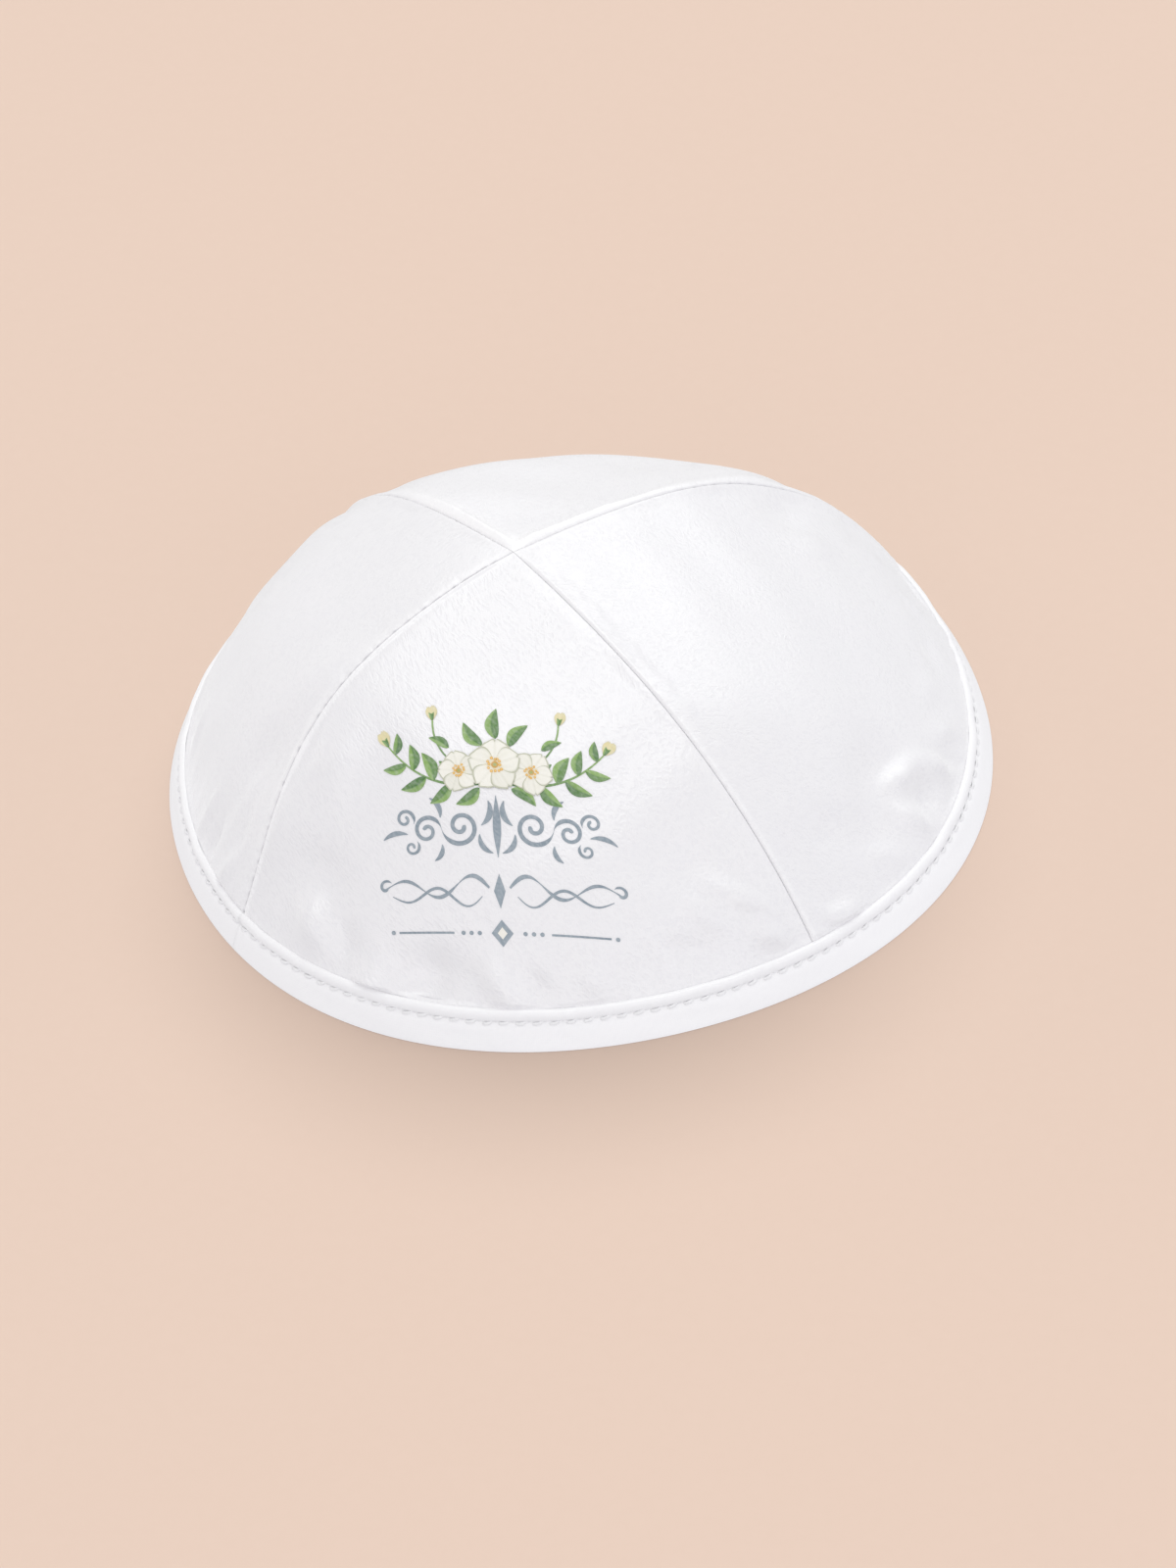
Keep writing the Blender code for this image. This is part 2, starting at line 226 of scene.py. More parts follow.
# one shader socket; arithmetic on it adds Math nodes
class Wire:
    def __init__(self, sheet, socket):
        self.sheet, self.socket = sheet, socket

    def math(self, operation, *values):
        return self.sheet.node("ShaderNodeMath", {"operation": operation}, dict(enumerate(values)))

    def __add__(self, other):
        return self.math("ADD", self, other)

    def __radd__(self, other):
        return self.math("ADD", other, self)

    def __sub__(self, other):
        return self.math("SUBTRACT", self, other)

    def __rsub__(self, other):
        return self.math("SUBTRACT", other, self)

    def __mul__(self, other):
        return self.math("MULTIPLY", self, other)

    def __rmul__(self, other):
        return self.math("MULTIPLY", other, self)

    def __truediv__(self, other):
        return self.math("DIVIDE", self, other)

    def clamp(self):
        return self.math("MINIMUM", self.math("MAXIMUM", self, 0.0), 1.0)

    def sine(self):
        return self.math("SINE", self)

    def wave(self):  # a sine from 0 to 1
        return self.sine() * 0.5 + 0.5

    def fraction(self):
        return self.math("FRACT", self)


# a material's node sheet: one method adds any node
class Finish:
    def __init__(self, name):
        self.material = bpy.data.materials.new(name)
        self.material.use_nodes = True
        self.tree = self.material.node_tree
        self.shader = self.tree.nodes["Principled BSDF"]

    def node(self, kind, settings=None, inputs=None, output=0):
        made = self.tree.nodes.new(kind)
        for key, value in (settings or {}).items():
            setattr(made, key, value)
        for key, value in (inputs or {}).items():
            self.feed(made.inputs[key], value)
        return Wire(self, made.outputs[output])

    def feed(self, socket, value):
        if isinstance(value, Wire):
            self.tree.links.new(value.socket, socket)
        else:
            socket.default_value = (*value, 1.0) if socket.type == "RGBA" else value

    def mixColour(self, factor, first, second):
        return self.node("ShaderNodeMix", {"data_type": "RGBA"}, {0: factor, 6: first, 7: second}, 2)

    # the place on the piece counted in steps of the given size, after an optional turn
    def mapped(self, size=(1.0, 1.0, 1.0), turn=0.0, source="UV", middle=(0.0, 0.0, 0.0)):
        place = self.node("ShaderNodeTexCoord", output=source)
        rotation = (0.0, 0.0, radians(turn))
        inputs = {"Vector": place, "Location": middle, "Rotation": rotation, "Scale": size}
        return self.node("ShaderNodeMapping", {"vector_type": "TEXTURE"}, inputs)

    def noise(self, vector, scale=1.0, detail=2.0, roughness=0.5):
        inputs = {"Vector": vector, "Scale": scale, "Detail": detail, "Roughness": roughness}
        return self.node("ShaderNodeTexNoise", None, inputs)

    # the first two coordinates of a vector
    def split(self, vector):
        node = self.node("ShaderNodeSeparateXYZ", None, {"Vector": vector}).socket.node
        return [Wire(self, node.outputs[key]) for key in range(2)]

    def bump(self, height, distance, strength=1.0, under=None):
        inputs = {"Height": height, "Distance": distance, "Strength": strength}
        return self.node("ShaderNodeBump", None, inputs if under is None else {**inputs, "Normal": under})

    # the shader's own sockets, fed together
    def shade(self, colour, roughness, normal, sheen=0.0, specular=0.5):
        values = {"Base Color": colour, "Roughness": roughness, "Normal": normal, "Sheen Weight": sheen,
                  "Specular IOR Level": specular}
        for key, value in values.items():
            self.feed(self.shader.inputs[key], value)
        return self.material


satinLook = {
    "white": (0.9, 0.894, 0.906),
    # darker white for random drift and for the painted shade in the crepe's troughs
    "toneAndTroughShadeWhite": (0.838, 0.833, 0.858),
    # colour of the painted shade in the seam creases
    "creaseShade": (0.4, 0.4, 0.43),
    # white of the painted sheen at a slant and the painted highlight on seam lips
    "paintedSheenWhite": (0.985, 0.982, 0.99),
    "threadPitch": 0.00042, "warpShare": 0.55, "weftShare": 0.45, "weaveDepth": 0.00002,
    "weaveStrength": 0.5,
    "ridgeSize": (0.0011, 0.0019),
    "ridgeTurn": -45, "ridgeCount": 2.6, "troughShade": 0.6, "ridgeGloss": 0.03,
    "ridgeDepth": 0.000065, "patchSize": 0.006, "patchGain": 0.9, "patchLeast": 0.2,
    "driftScale": 24.0, "driftTint": 0.6, "middleTint": 0.45, "metallic": 0.1,
    "roughness": 0.35, "roughnessSpread": 0.08, "sheen": 0.8, "sheenRoughness": 0.35,
    "specular": 0.9,
}


# satin: fine crossed threads under crepe ridges, which are the even steps of a soft noise, so
# that they curl, or run as short slanting strokes where the noise is drawn out. Its white and
# gloss drift over some centimetres, its crepe troughs carry a painted shade, a painted sheen
# pales it where it is seen at a slant, and its creases get painted shade and its seam lips a
# painted highlight, after the piece's own painted shading values
def satinMaterial(name, look, stitchRow=None):
    sheet = Finish(name)
    x, y = sheet.split(sheet.mapped((look["threadPitch"],) * 3))
    weave = (x * circle).wave() * look["warpShare"] + (y * circle).wave() * look["weftShare"]
    wide, tall = look["ridgeSize"]
    swirl = sheet.noise(sheet.mapped((wide, tall, wide), look["ridgeTurn"]), detail=1.5)
    patch = sheet.noise(sheet.mapped((look["patchSize"],) * 3), detail=1.0)
    patch = (patch * look["patchGain"] + look["patchLeast"]).clamp()
    ridges = (swirl * (circle * look["ridgeCount"])).wave() * patch
    drift = sheet.noise(sheet.mapped(), look["driftScale"], 3.0)
    threads = sheet.bump(weave, look["weaveDepth"], look["weaveStrength"])
    # painted shade: the crepe's troughs are darker, over a tone that drifts at random
    tint = drift * look["driftTint"] - ridges * look["troughShade"] + look["middleTint"]
    white = sheet.mixColour(tint.clamp(), look["white"], look["toneAndTroughShadeWhite"])
    # painted shade in the seam creases and at the hem, less a painted highlight along the seam lips
    paintedShadeAndShine = sheet.node("ShaderNodeAttribute", {"attribute_name": "paintedShadeAndShine"}, output=2)
    # painted shade in the needle holes and a painted shadow line above the stitches
    if stitchRow is not None:
        paintedShadeAndShine = paintedShadeAndShine + needleHoleShade(sheet, *stitchRow)
    # painted sheen: paler where the cloth is seen at a slant, and a painted highlight where the shading
    # values are negative
    edge = sheet.node("ShaderNodeLayerWeight", None, {"Blend": 0.5}, output=1)
    white = sheet.mixColour((edge * edge - paintedShadeAndShine).clamp(), white, look["paintedSheenWhite"])
    # painted crease shade
    white = sheet.mixColour(paintedShadeAndShine.clamp(), white, look["creaseShade"])
    rough = drift * look["roughnessSpread"] - ridges * look["ridgeGloss"] + look["roughness"]
    sheet.feed(sheet.shader.inputs["Sheen Roughness"], look["sheenRoughness"])
    sheet.feed(sheet.shader.inputs["Metallic"], look["metallic"])
    normal = sheet.bump(ridges, look["ridgeDepth"], under=threads)
    return sheet.shade(white, rough.clamp(), normal, look["sheen"], look["specular"])


needleShadeLook = {
    "along": 0.00042, "across": 0.0003, "strength": 0.15, "lineAbove": 0.0004,
    "lineWidth": 0.0004, "lineStrength": 0.05,
}


# painted shade: dark spots where the needle went in, one for each step along the row, under a thin painted
# shadow line
def needleHoleShade(sheet, step, row):
    look = needleShadeLook
    x, y = sheet.split(sheet.mapped())
    gap = ((x / step + 0.5).fraction() - 0.5) * (step / look["along"])
    rise = (y - row) / look["across"]
    line = (y - (row + look["lineAbove"])) / look["lineWidth"]
    hole = (1 - gap * gap - rise * rise).clamp() * look["strength"]
    return hole + (1 - line * line).clamp() * look["lineStrength"]


backLook = {
    "white": (0.8, 0.8, 0.82),
    "shadow": (0.72, 0.72, 0.75),
    "threadPitch": 0.0006, "weaveTint": 0.35, "blotchScale": 60.0, "roughness": 0.75,
    "roughnessSpread": 0.1, "depth": 0.00008,
}


# the cloth's dull back: a plain over-and-under weave, which is the product of two sines
def backMaterial(name, look):
    sheet = Finish(name)
    x, y = sheet.split(sheet.mapped((look["threadPitch"] / pi,) * 3))
    weave = x.sine() * y.sine()
    blotch = sheet.noise(sheet.mapped(), look["blotchScale"], 4.0, 0.6)
    white = sheet.mixColour((weave * look["weaveTint"] + blotch).clamp(), look["white"], look["shadow"])
    rough = blotch * look["roughnessSpread"] + look["roughness"]
    return sheet.shade(white, rough.clamp(), sheet.bump(weave + blotch, look["depth"]), 0.3, 0.2)


goreSatin = satinMaterial("goreSatin", satinLook)
curlySatin = satinMaterial("curlySatin", {**satinLook, "ridgeSize": (0.0012, 0.0013)})
clothBack = backMaterial("clothBack", backLook)
print("cloth materials made")


goreCloth = {
    # hemShade is painted shade on the hem under the binding; creaseLeast is the least share of the painted
    # crease shade near the tips
    "wall": 0.001, "hemShade": 0.03, "foldGain": 1.35, "foldFade": 0.12, "edgeFade": 0.006,
    "tipFade": 0.012, "creaseLeast": 0.4, "seamGap": 0.00008, "seamGapLimit": 0.25,
    "tipRadius": 0.00012, "rimTravel": 0.9, "tuckDepth": -0.00006, "tuckLength": 0.0016,
    "tuckEnd": 0.12, "hemHeight": 0.0013, "hemStretch": 1.12, "hemStep": 0.0002, "rows": 150,
    "rowCrowding": 1.04, "tuckRows": 10, "hemRows": 4, "middleColumns": 104, "seamColumns": 22,
    "seamCrowding": 1.4, "seamZone": 0.0058, "seamZoneLimit": 0.22,
}
rimReach = cap["rimRadius"] * goreCloth["rimTravel"]  # metres of cloth for a radian of polar at the rim
tuckStart = bandFold - goreCloth["tuckLength"] / rimReach  # where the cloth starts to dip under the binding

# soft folds, a table for each gore: across -1 to 1, polar degrees, half length and half width in
# millimetres, turn in degrees from straight down, rise in millimetres
foldRows = (
    ((-0.72, 65, 8.5, 9, 0, -1.6), (0.74, 61, 8, 8.5, 15, -1.15), (-0.18, 78, 6, 9, 0, -0.8),
     (-0.71, 73.5, 6.5, 3.8, 15, 1.7), (-0.56, 75.1, 5.4, 3, 25, -1.1), (-0.44, 84, 8, 4.2, 4, 2.4),
     (-0.24, 77, 6, 3.4, -6, -1.15), (-0.03, 76.5, 6, 3.4, 27, 1.3), (0.1, 77.5, 4.2, 2.6, 30, -0.75),
     (0.28, 77, 4.6, 2.8, 18, 0.6), (0.7, 69.1, 6, 2.6, 32, 0.6), (0.85, 69, 8.5, 2.6, 40, 0.95),
     (0.88, 77, 5, 2.8, 47, 0.8), (0.62, 75.5, 6, 2.8, 60, -0.35), (-0.8, 44, 8, 6, 0, 1.4)),
    ((-0.4, 65, 9, 9, 15, -1.5), (-0.62, 71, 7, 7, 0, -1.2), (-0.74, 66, 6, 6, 20, -0.9),
     (-0.85, 80, 5, 2.8, 67, 1.15), (-0.88, 77.6, 2.8, 2.8, 22, -0.4), (-0.6, 77, 5, 2.8, 40, 0.65),
     (-0.33, 69, 5.6, 2.9, 75, 1.75), (-0.19, 74, 5.6, 2.7, 21, 1.55), (-0.43, 75, 5.6, 2.7, 12, 1.5),
     (-0.31, 76, 3.6, 3.2, 18, -1.55), (0, 74.6, 6, 2.8, 55, 0.95), (0.14, 70, 5, 2.8, 70, 0.6),
     (0.37, 71.5, 6, 3.4, -80, -0.8), (0.6, 70, 5, 3, -40, 0.55), (0.78, 63.7, 5, 4.2, 7, 0.6),
     (0.84, 42.5, 5, 5, 16, -1), (0.66, 47, 5, 4, 30, 0.75), (-0.3, 42, 11, 11, 0, 0.7)),
    ((0, 25, 12, 12, 0, -0.9), (-0.45, 74, 6, 2.4, -15, 0.8), (0.4, 75, 6, 2.4, 12, 0.8),
     (-0.1, 76, 5, 2.2, 8, -0.6), (0.72, 76, 6, 2, -35, 0.7), (-0.75, 75, 6, 2, 38, 0.7),
     (0.9, 46, 7, 5, 0, -0.9), (-0.84, 56, 9, 7, 0, -1)),
    ((0.78, 34, 8, 6, 0, 0.6), (0.76, 54, 8, 6, 0, -0.7), (0.1, 58, 9, 9, 0, -0.8),
     (-0.84, 50, 8, 8, 0, 0.6), (-0.35, 62, 9, 9, 0, -0.7), (0.78, 63.1, 14, 1.9, -7, 0.28),
     (0.85, 69.1, 10, 1.8, 6, -0.4), (0.85, 76.9, 6.6, 1.8, -14, 0.75), (0.67, 77, 7, 1.8, 0, -0.75),
     (0.56, 75, 8, 1.9, -4, 0.7), (0.1, 74, 7, 2.6, 8, 0.55), (-0.43, 74, 7, 7, 0, -0.7)),
)

# seams in order from the front left one, all in millimetres. For the gore before and the gore
# after each: width of the valley, lip rise, lip centre, lip width, how much the lip swells,
# crimp depth, rise of the pressed-over allowance, then how dark the painted crease shade is
# and its width
seamLook = {
    "before": ((0.26, 0.12, 1.4, 0.8, 0.3, 0.1, 0, 0.8, 0.33),
               (0.13, 0.06, 0.8, 0.6, 0.3, 0.04, 0, 0.3, 0.11),
               (0.2, 0.12, 0.7, 0.5, 0.2, 0.04, 0, 0.15, 0.14),
               (0.24, 0.9, 1.5, 1.05, 0.08, 0.05, 0.1, 0.4, 0.22)),
    "after": ((0.12, 0.42, 0.46, 0.36, 0.1, 0.02, 0, 0.06, 0.08),
              (0.15, 0.26, 0.56, 0.38, 0.2, 0.08, 0.25, 0.1, 0.1),
              (0.24, 0.9, 1.5, 1.05, 0.08, 0.05, 0.1, 0.4, 0.22),
              (0.22, 0.08, 0.9, 0.8, 0.3, 0.04, 0, 0.2, 0.14)),
    "dip": (0.5, 0.2, 0.45, 0.45),
    "dipSwing": 0.25,
    "lipWaves": (5.5, 9.0, 14.0),
    "lipFade": (20.0, 40.0),  # the lip shrinks between these two places on the way down
    "lipLeft": (1.0, 1.0, 0.18, 0.12),  # to this share
    # lipShine is a painted highlight along the lip
    "lipShine": 1.5,  # how much less dark the crease is for a millimetre of lip
    "shineSpread": 1.8,
    "crimpWaves": (1.8, 2.3, 3.4),
    "crimpSlant": 0.35, "crimpReach": 1.0, "crimpMiddle": 0.55,
    "shadeSwing": (0.22, 0.15, 0.26, 0.26),  # how much the crimps change the dark line
    "allowance": 3.8, "allowanceSwing": 0.5, "allowanceEdge": 1.1,
    # places where the whole seam stands high or low: rise, how far down, half length
    "swells": ((), (), ((-0.8, 62.0, 14.0), (0.6, 96.0, 9.0)), ((-0.9, 56.0, 14.0),)),
    "swellWidth": 7.0,
}


# the height of the soft folds and dents: bells stretched along a turned line
def foldRise(gore, across, polar):
    total = np.zeros_like(across * polar)
    radius = cap["rimRadius"] / millimetre
    squash = (1 + cap["crownHeight"] / cap["rimRadius"]) / 2
    for middle, centre, length, width, turn, rise in foldRows[gore]:
        centre, turn = radians(centre), radians(turn)
        side = (across - middle) * sin(centre) * quarter / 2 * radius
        down = (polar - centre) * squash * radius
        lengthwise = down * cos(turn) + side * sin(turn)
        widthwise = side * cos(turn) - down * sin(turn)
        total += rise * bell(lengthwise, length) * bell(widthwise, width)
    inside = smoothStep((1 - np.abs(across)) / goreCloth["foldFade"])
    return total * millimetre * goreCloth["foldGain"] * inside


# beside a seam: a narrow valley, a rounded lip that swells and shrinks, the pressed-over
# allowance and small crimps. Gives the rise, and the painted shade in the crease less a painted highlight
# along the lip
def seamRise(away, down, seam, side):
    look = seamLook
    away, down = away / millimetre, down / millimetre
    dipWidth, lip, centre, width, swelling, crimp, pressed, dark, darkWidth = look[side][seam]
    seed = 10 * seam + (side == "after")
    crimps = unevenWave(down + away * look["crimpSlant"], look["crimpWaves"], seed)
    first, last = look["lipFade"]
    shrink = 1 - (1 - look["lipLeft"][seam]) * smoothStep((down - first) / (last - first))
    lip = lip * (1 + swelling * unevenWave(down, look["lipWaves"], seed + 40)) * shrink
    valley = look["dip"][seam] * bell(away, dipWidth * (1 + look["dipSwing"] * crimps))
    allowance = look["allowance"] + look["allowanceSwing"] * unevenWave(down, look["lipWaves"], seed + 60)
    edge, reach = look["allowanceEdge"], look["crimpReach"]
    pad = pressed * (1 - smoothStep((away - allowance + edge) / (2 * edge))) * smoothStep(away / edge)
    puckers = crimp * crimps * bell(away - reach * look["crimpMiddle"], reach)
    rise = lip * bell(away - centre, width) - valley + pad + puckers
    for height, place, length in look["swells"][seam]:
        rise = rise + height * bell(away, look["swellWidth"]) * bell(down - place, length)
    # painted shade along the crease that swings with the crimps, less a painted highlight on the lip
    swing = 1 + look["shadeSwing"][seam] * crimps
    shade = dark * swing * bell(away, darkWidth * swing)
    shine = look["lipShine"] * lip * bell(away - centre, width * look["shineSpread"])
    return rise * millimetre, shade - shine


gatherLook = {
    "rise": (0.00012, 0.0002, 0.00022, 0.00018),
    "reach": 0.009, "slant": 0.4,
    "waves": (0.0052, 0.0075, 0.0113),
    "strength": 0.65, "strengthSwing": 0.35,
    "strengthWaves": (0.031, 0.047),
    "softRise": 0.00028,
    "softWaves": (0.019, 0.027, 0.041),
    "broadRise": 0.00045,
    "broadWaves": (0.052, 0.071),
}


# gathers just above the binding: uneven waves round the rim that die out up the cloth,
# over broad soft unevenness
def gatherRise(gore, above, x, y):
    look = gatherLook
    strength = look["strength"] + look["strengthSwing"] * unevenWave(x, look["strengthWaves"], 70 + gore)
    waves = unevenWave(x + above * look["slant"], look["waves"], 80 + gore)
    near = look["rise"][gore] * strength * waves * np.exp(-above / look["reach"])
    soft = look["softRise"] * unevenField(x, y, look["softWaves"], 90 + gore)
    broad = look["broadRise"] * unevenField(x, y, look["broadWaves"], 100 + gore)
    return near + soft + broad


# lengths on a gore: how wide a gore is at each level, and how far down each level lies
def clothLengths(gore, polar):
    step = cap["acrossStep"]
    middle = gore + 0.5
    width = np.linalg.norm(crown(middle + step, polar) - crown(middle - step, polar), axis=-1) / (2 * step)
    fine = np.linspace(0, quarter, 400)
    return width, np.interp(polar, fine, lengthsAlong(crown(np.full_like(fine, middle), fine)))


# the finished outer face at any place of a gore, lifted by lift metres along its way out; also
# the place on the flat cloth and the painted shade in the crease less the painted highlight on the lip
def goreSurface(gore, around, polar, lift=0.0):
    look = goreCloth
    level = np.unique(np.asarray(polar).ravel())
    width, down = clothLengths(gore, level)
    width, down = np.interp(polar, level, width), np.interp(polar, level, down)
    share = around - gore
    across = 2 * share - 1
    fade = smoothStep(width / look["tipFade"])
    left, leftShadeAndShine = seamRise(share * width, down, gore, "after")
    right, rightShadeAndShine = seamRise((1 - share) * width, down, (gore + 1) % gores, "before")
    above = np.maximum((bandFold - polar) * rimReach, 0)
    x, y = (share - 0.5) * width, down
    rise = foldRise(gore, across, polar) + gatherRise(gore, above, x, y) * fade
    rise = rise * smoothStep((1 - np.abs(across)) * width / look["edgeFade"]) + (left + right) * fade
    bend = smoothStep((polar - tuckStart) / (bandFold - tuckStart))
    rise = rise * (1 - bend) - look["tuckDepth"] * bend + lift
    # painted shade in the creases less painted highlight on the lips, weaker near the tip
    paintedShadeAndShine = np.clip(leftShadeAndShine + rightShadeAndShine, -1, 1) * (look["creaseLeast"] + (1 - look["creaseLeast"]) * fade)
    return crown(around, polar) + crownNormal(around, polar) * rise[..., None], x, y, paintedShadeAndShine


# a gore: rows from the tip to the hem in the binding, columns crowded beside the seams
def makeGore(gore, name, node):
    look = goreCloth
    tip = asin(look["tipRadius"] / cap["rimRadius"])
    last = bandFold - look["tuckEnd"] * (bandFold - tuckStart)
    falling = np.linspace(0, 1, look["rows"], endpoint=False) ** look["rowCrowding"]
    tucked = np.linspace(tuckStart, last, look["tuckRows"])
    polar = np.concatenate([tip + (tuckStart - tip) * falling, tucked])
    width = clothLengths(gore, polar)[0]
    gap = np.minimum(look["seamGap"] / 2 / width, look["seamGapLimit"])
    zone = np.minimum(look["seamZone"] / width, look["seamZoneLimit"])
    near = np.linspace(0, 1, look["seamColumns"], endpoint=False) ** look["seamCrowding"]
    left = gap[:, None] + zone[:, None] * near
    inner = (gap + zone)[:, None]
    centre = inner + (1 - 2 * inner) * np.linspace(0, 1, look["middleColumns"])
    share = np.hstack([left, centre, 1 - left[:, ::-1]])
    around, level = gore + share, np.broadcast_to(polar[:, None], share.shape)
    outer, x, y, paintedShadeAndShine = goreSurface(gore, around, level)
    inside = goreSurface(gore, around, level, -look["wall"])[0]
    heights = np.linspace(cap["bandHeight"], look["hemHeight"], look["hemRows"])[:, None]
    hemOut = np.full((look["hemRows"], 1), -look["tuckDepth"])
    outer = np.concatenate([outer, bandPoint(around[-1:], heights, hemOut)])
    inside = np.concatenate([inside, bandPoint(around[-1:], heights, hemOut - look["wall"])])
    hemDrop = (cap["bandHeight"] - heights) * look["hemStretch"] + look["hemStep"]
    x = np.concatenate([x, np.repeat(x[-1:], look["hemRows"], axis=0)])
    y = np.concatenate([y, y[-1:] + hemDrop])
    # the hem under the binding gets a little painted shade
    paintedShadeAndShine = np.concatenate([paintedShadeAndShine, np.full((look["hemRows"], paintedShadeAndShine.shape[1]), look["hemShade"])])
    rows, columns = outer.shape[:2]
    front = np.arange(rows * columns).reshape(rows, columns)
    back = front + rows * columns
    outerFaces, innerFaces = gridFaces(front), gridFaces(back[:, ::-1])
    edges = [gridFaces(np.stack([front[:, -1], back[:, -1]], axis=1)),
             gridFaces(np.stack([back[:, 0], front[:, 0]], axis=1)),
             gridFaces(np.stack([back[0], front[0]], axis=0)),
             gridFaces(np.stack([front[-1], back[-1]], axis=0))]
    faces = np.concatenate([outerFaces, *edges, innerFaces])
    which = np.zeros(len(faces), int)
    which[-len(innerFaces):] = 1
    uv = np.stack([x, y], axis=-1).reshape(-1, 2)
    satin = curlySatin if gore == 1 else goreSatin
    piece = meshPiece(name, np.concatenate([outer.reshape(-1, 3), inside.reshape(-1, 3)]), faces,
                      (satin, clothBack), np.concatenate([uv, uv]), which)
    # the painted shade and highlight values go on the points
    dark = piece.data.attributes.new("paintedShadeAndShine", "FLOAT", "POINT")
    dark.data.foreach_set("value", np.tile(paintedShadeAndShine.ravel(), 2).astype(np.float32))
    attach(piece, "root")
    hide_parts(node)
    print("gore made:", name, len(faces), "faces")


for gore, (name, node) in enumerate((("goreFront", "panel_front"), ("goreRight", "panel_right"),
                                     ("goreBack", "panel_back"), ("goreLeft", "panel_left"))):
    makeGore(gore, name, node)


printLook = {
    "middle": 63.0, "lift": 0.05, "layer": 0.025,
    "slate": (0.285, 0.345, 0.395),
    "slateDark": (0.235, 0.29, 0.34),
    "leafDark": (0.055, 0.16, 0.045),
    "leafLight": (0.255, 0.42, 0.12),
    "petal": (0.9, 0.88, 0.8),
    "petalShade": (0.52, 0.53, 0.4),
    "petalHeart": (0.78, 0.64, 0.33),
    "bud": (0.78, 0.69, 0.38),
    "anther": (0.7, 0.33, 0.05),
    "antherLight": (0.92, 0.66, 0.16),
    "satin": (0.93, 0.93, 0.95),
    "roughness": 0.38, "depth": 0.00008,
}

# the print's shapes wait here until they are laid on the gore together: points in millimetres
# from the print's middle, colours and layers
printShapes = []


# keeps one shape: a grid of flat places with a colour at each and its layer
def addShape(x, y, colour, layer):
    x, y = np.broadcast_arrays(x, y)
    printShapes.append((x, y, np.broadcast_to(colour, (*x.shape, 3)), layer))


# blends two colours by a share
def blend(first, second, share):
    share = np.clip(share, 0, 1)[..., None]
    return np.asarray(first) * (1 - share) + np.asarray(second) * share


# a grid's two shares: rows run along a shape, columns across it
def shapeGrid(rows, columns, start=0):
    return np.linspace(start, 1, rows)[:, None], np.linspace(-1, 1, columns)[None, :]


# flat places turned about a base and moved to it
def placed(base, turn, along, across):
    cosine, sine = cos(radians(turn)), sin(radians(turn))
    return base[0] + along * cosine - across * sine, base[1] + along * sine + across * cosine


# a brush stroke: a ribbon along a line, its half width given at each place along
def addStroke(x, y, half, layer=0, first="slate", second="slateDark"):
    length = np.hypot(np.gradient(x), np.gradient(y))
    along, across = shapeGrid(len(x), 5)
    offset = half[:, None] * across
    addShape(x[:, None] - (np.gradient(y) / length)[:, None] * offset,
             y[:, None] + (np.gradient(x) / length)[:, None] * offset,
             blend(printLook[first], printLook[second], along + 0 * across), layer)


# a scroll: a curl whose radius falls evenly as it turns, from its eye out to its tail
def addScroll(centre, start, turns, radii, widths, mirror, layer=0):
    share = np.linspace(0, 1, 72)
    turn = radians(start) + circle * turns * share
    radius = radii[0] + (radii[1] - radii[0]) * share ** 1.15
    half = widths[0] + (widths[1] - widths[0]) * np.sin(pi * share ** 0.75) + 0.02
    addStroke(mirror * (centre[0] + radius * np.cos(turn)), centre[1] + radius * np.sin(turn),
              half * smoothStep(share / 0.04) * smoothStep((1 - share) / 0.1) + 0.03, layer)


# a bowed line between two ends: a parabola added to the straight line
def bowedLine(start, end, bow, count):
    share = np.linspace(0, 1, count)
    dx, dy = end[0] - start[0], end[1] - start[1]
    lift = bow * 4 * share * (1 - share)
    return start[0] + dx * share - dy * lift, start[1] + dy * share + dx * lift


# a leaf: half its width is a sine of the share along, pulled towards its base; a lighter half
# and a vein give it its fold
def addLeaf(base, turn, length, width, layer, bend=0.12, tone=0.0):
    along, across = shapeGrid(16, 9)
    half = width / 2 * np.sin(pi * along ** 0.8) ** 0.85 * across
    curve = bend * length * np.sin(pi * along)
    fold = 0.38 * np.sign(across) * np.abs(across) ** 0.3
    shade = 0.5 + fold - 0.45 * bell(across, 0.16) + 0.2 * along
    addShape(*placed(base, turn, along * length, half + curve),
             blend(printLook["leafDark"], printLook["leafLight"], shade + tone), layer)


# a petal: a broad notched heart shape whose half width is a sine of the share along
def addPetal(centre, turn, length, width, layer, tone, paint="petal"):
    along, across = shapeGrid(14, 11)
    half = width / 2 * np.sin(pi * np.clip(along, 0.02, 0.97) ** 1.35) ** 0.62 * across
    tip = along * length * (1 - 0.1 * along * bell(across, 0.3)) * (1 - 0.05 * across ** 2)
    fold = 0.3 * bell(np.abs(across) - 0.55, 0.2) * (1 - along) + 0.22 * bell(across, 0.1)
    edge = 0.55 * smoothStep((np.abs(across) - 0.8) / 0.2) + 0.5 * smoothStep((along - 0.9) / 0.1)
    colour = blend(printLook[paint], printLook["petalShade"], fold + edge * 0.8 + tone)
    heart = smoothStep((0.36 - along) / 0.3)[..., None] * 0.7
    colour = colour + (np.asarray(printLook["petalHeart"]) - colour) * heart
    addShape(*placed(centre, turn, tip, half), colour, layer)


# a round dab of ink: rings round a middle
def addDab(centre, radius, layer, colour="slate", second="slate"):
    ring = np.linspace(0.02, 1, 4)[:, None]
    turn = np.linspace(0, circle, 15)[None, :]
    addShape(centre[0] + radius * ring * np.cos(turn), centre[1] + radius * ring * np.sin(turn),
             blend(printLook[colour], printLook[second], ring + 0 * turn), layer)


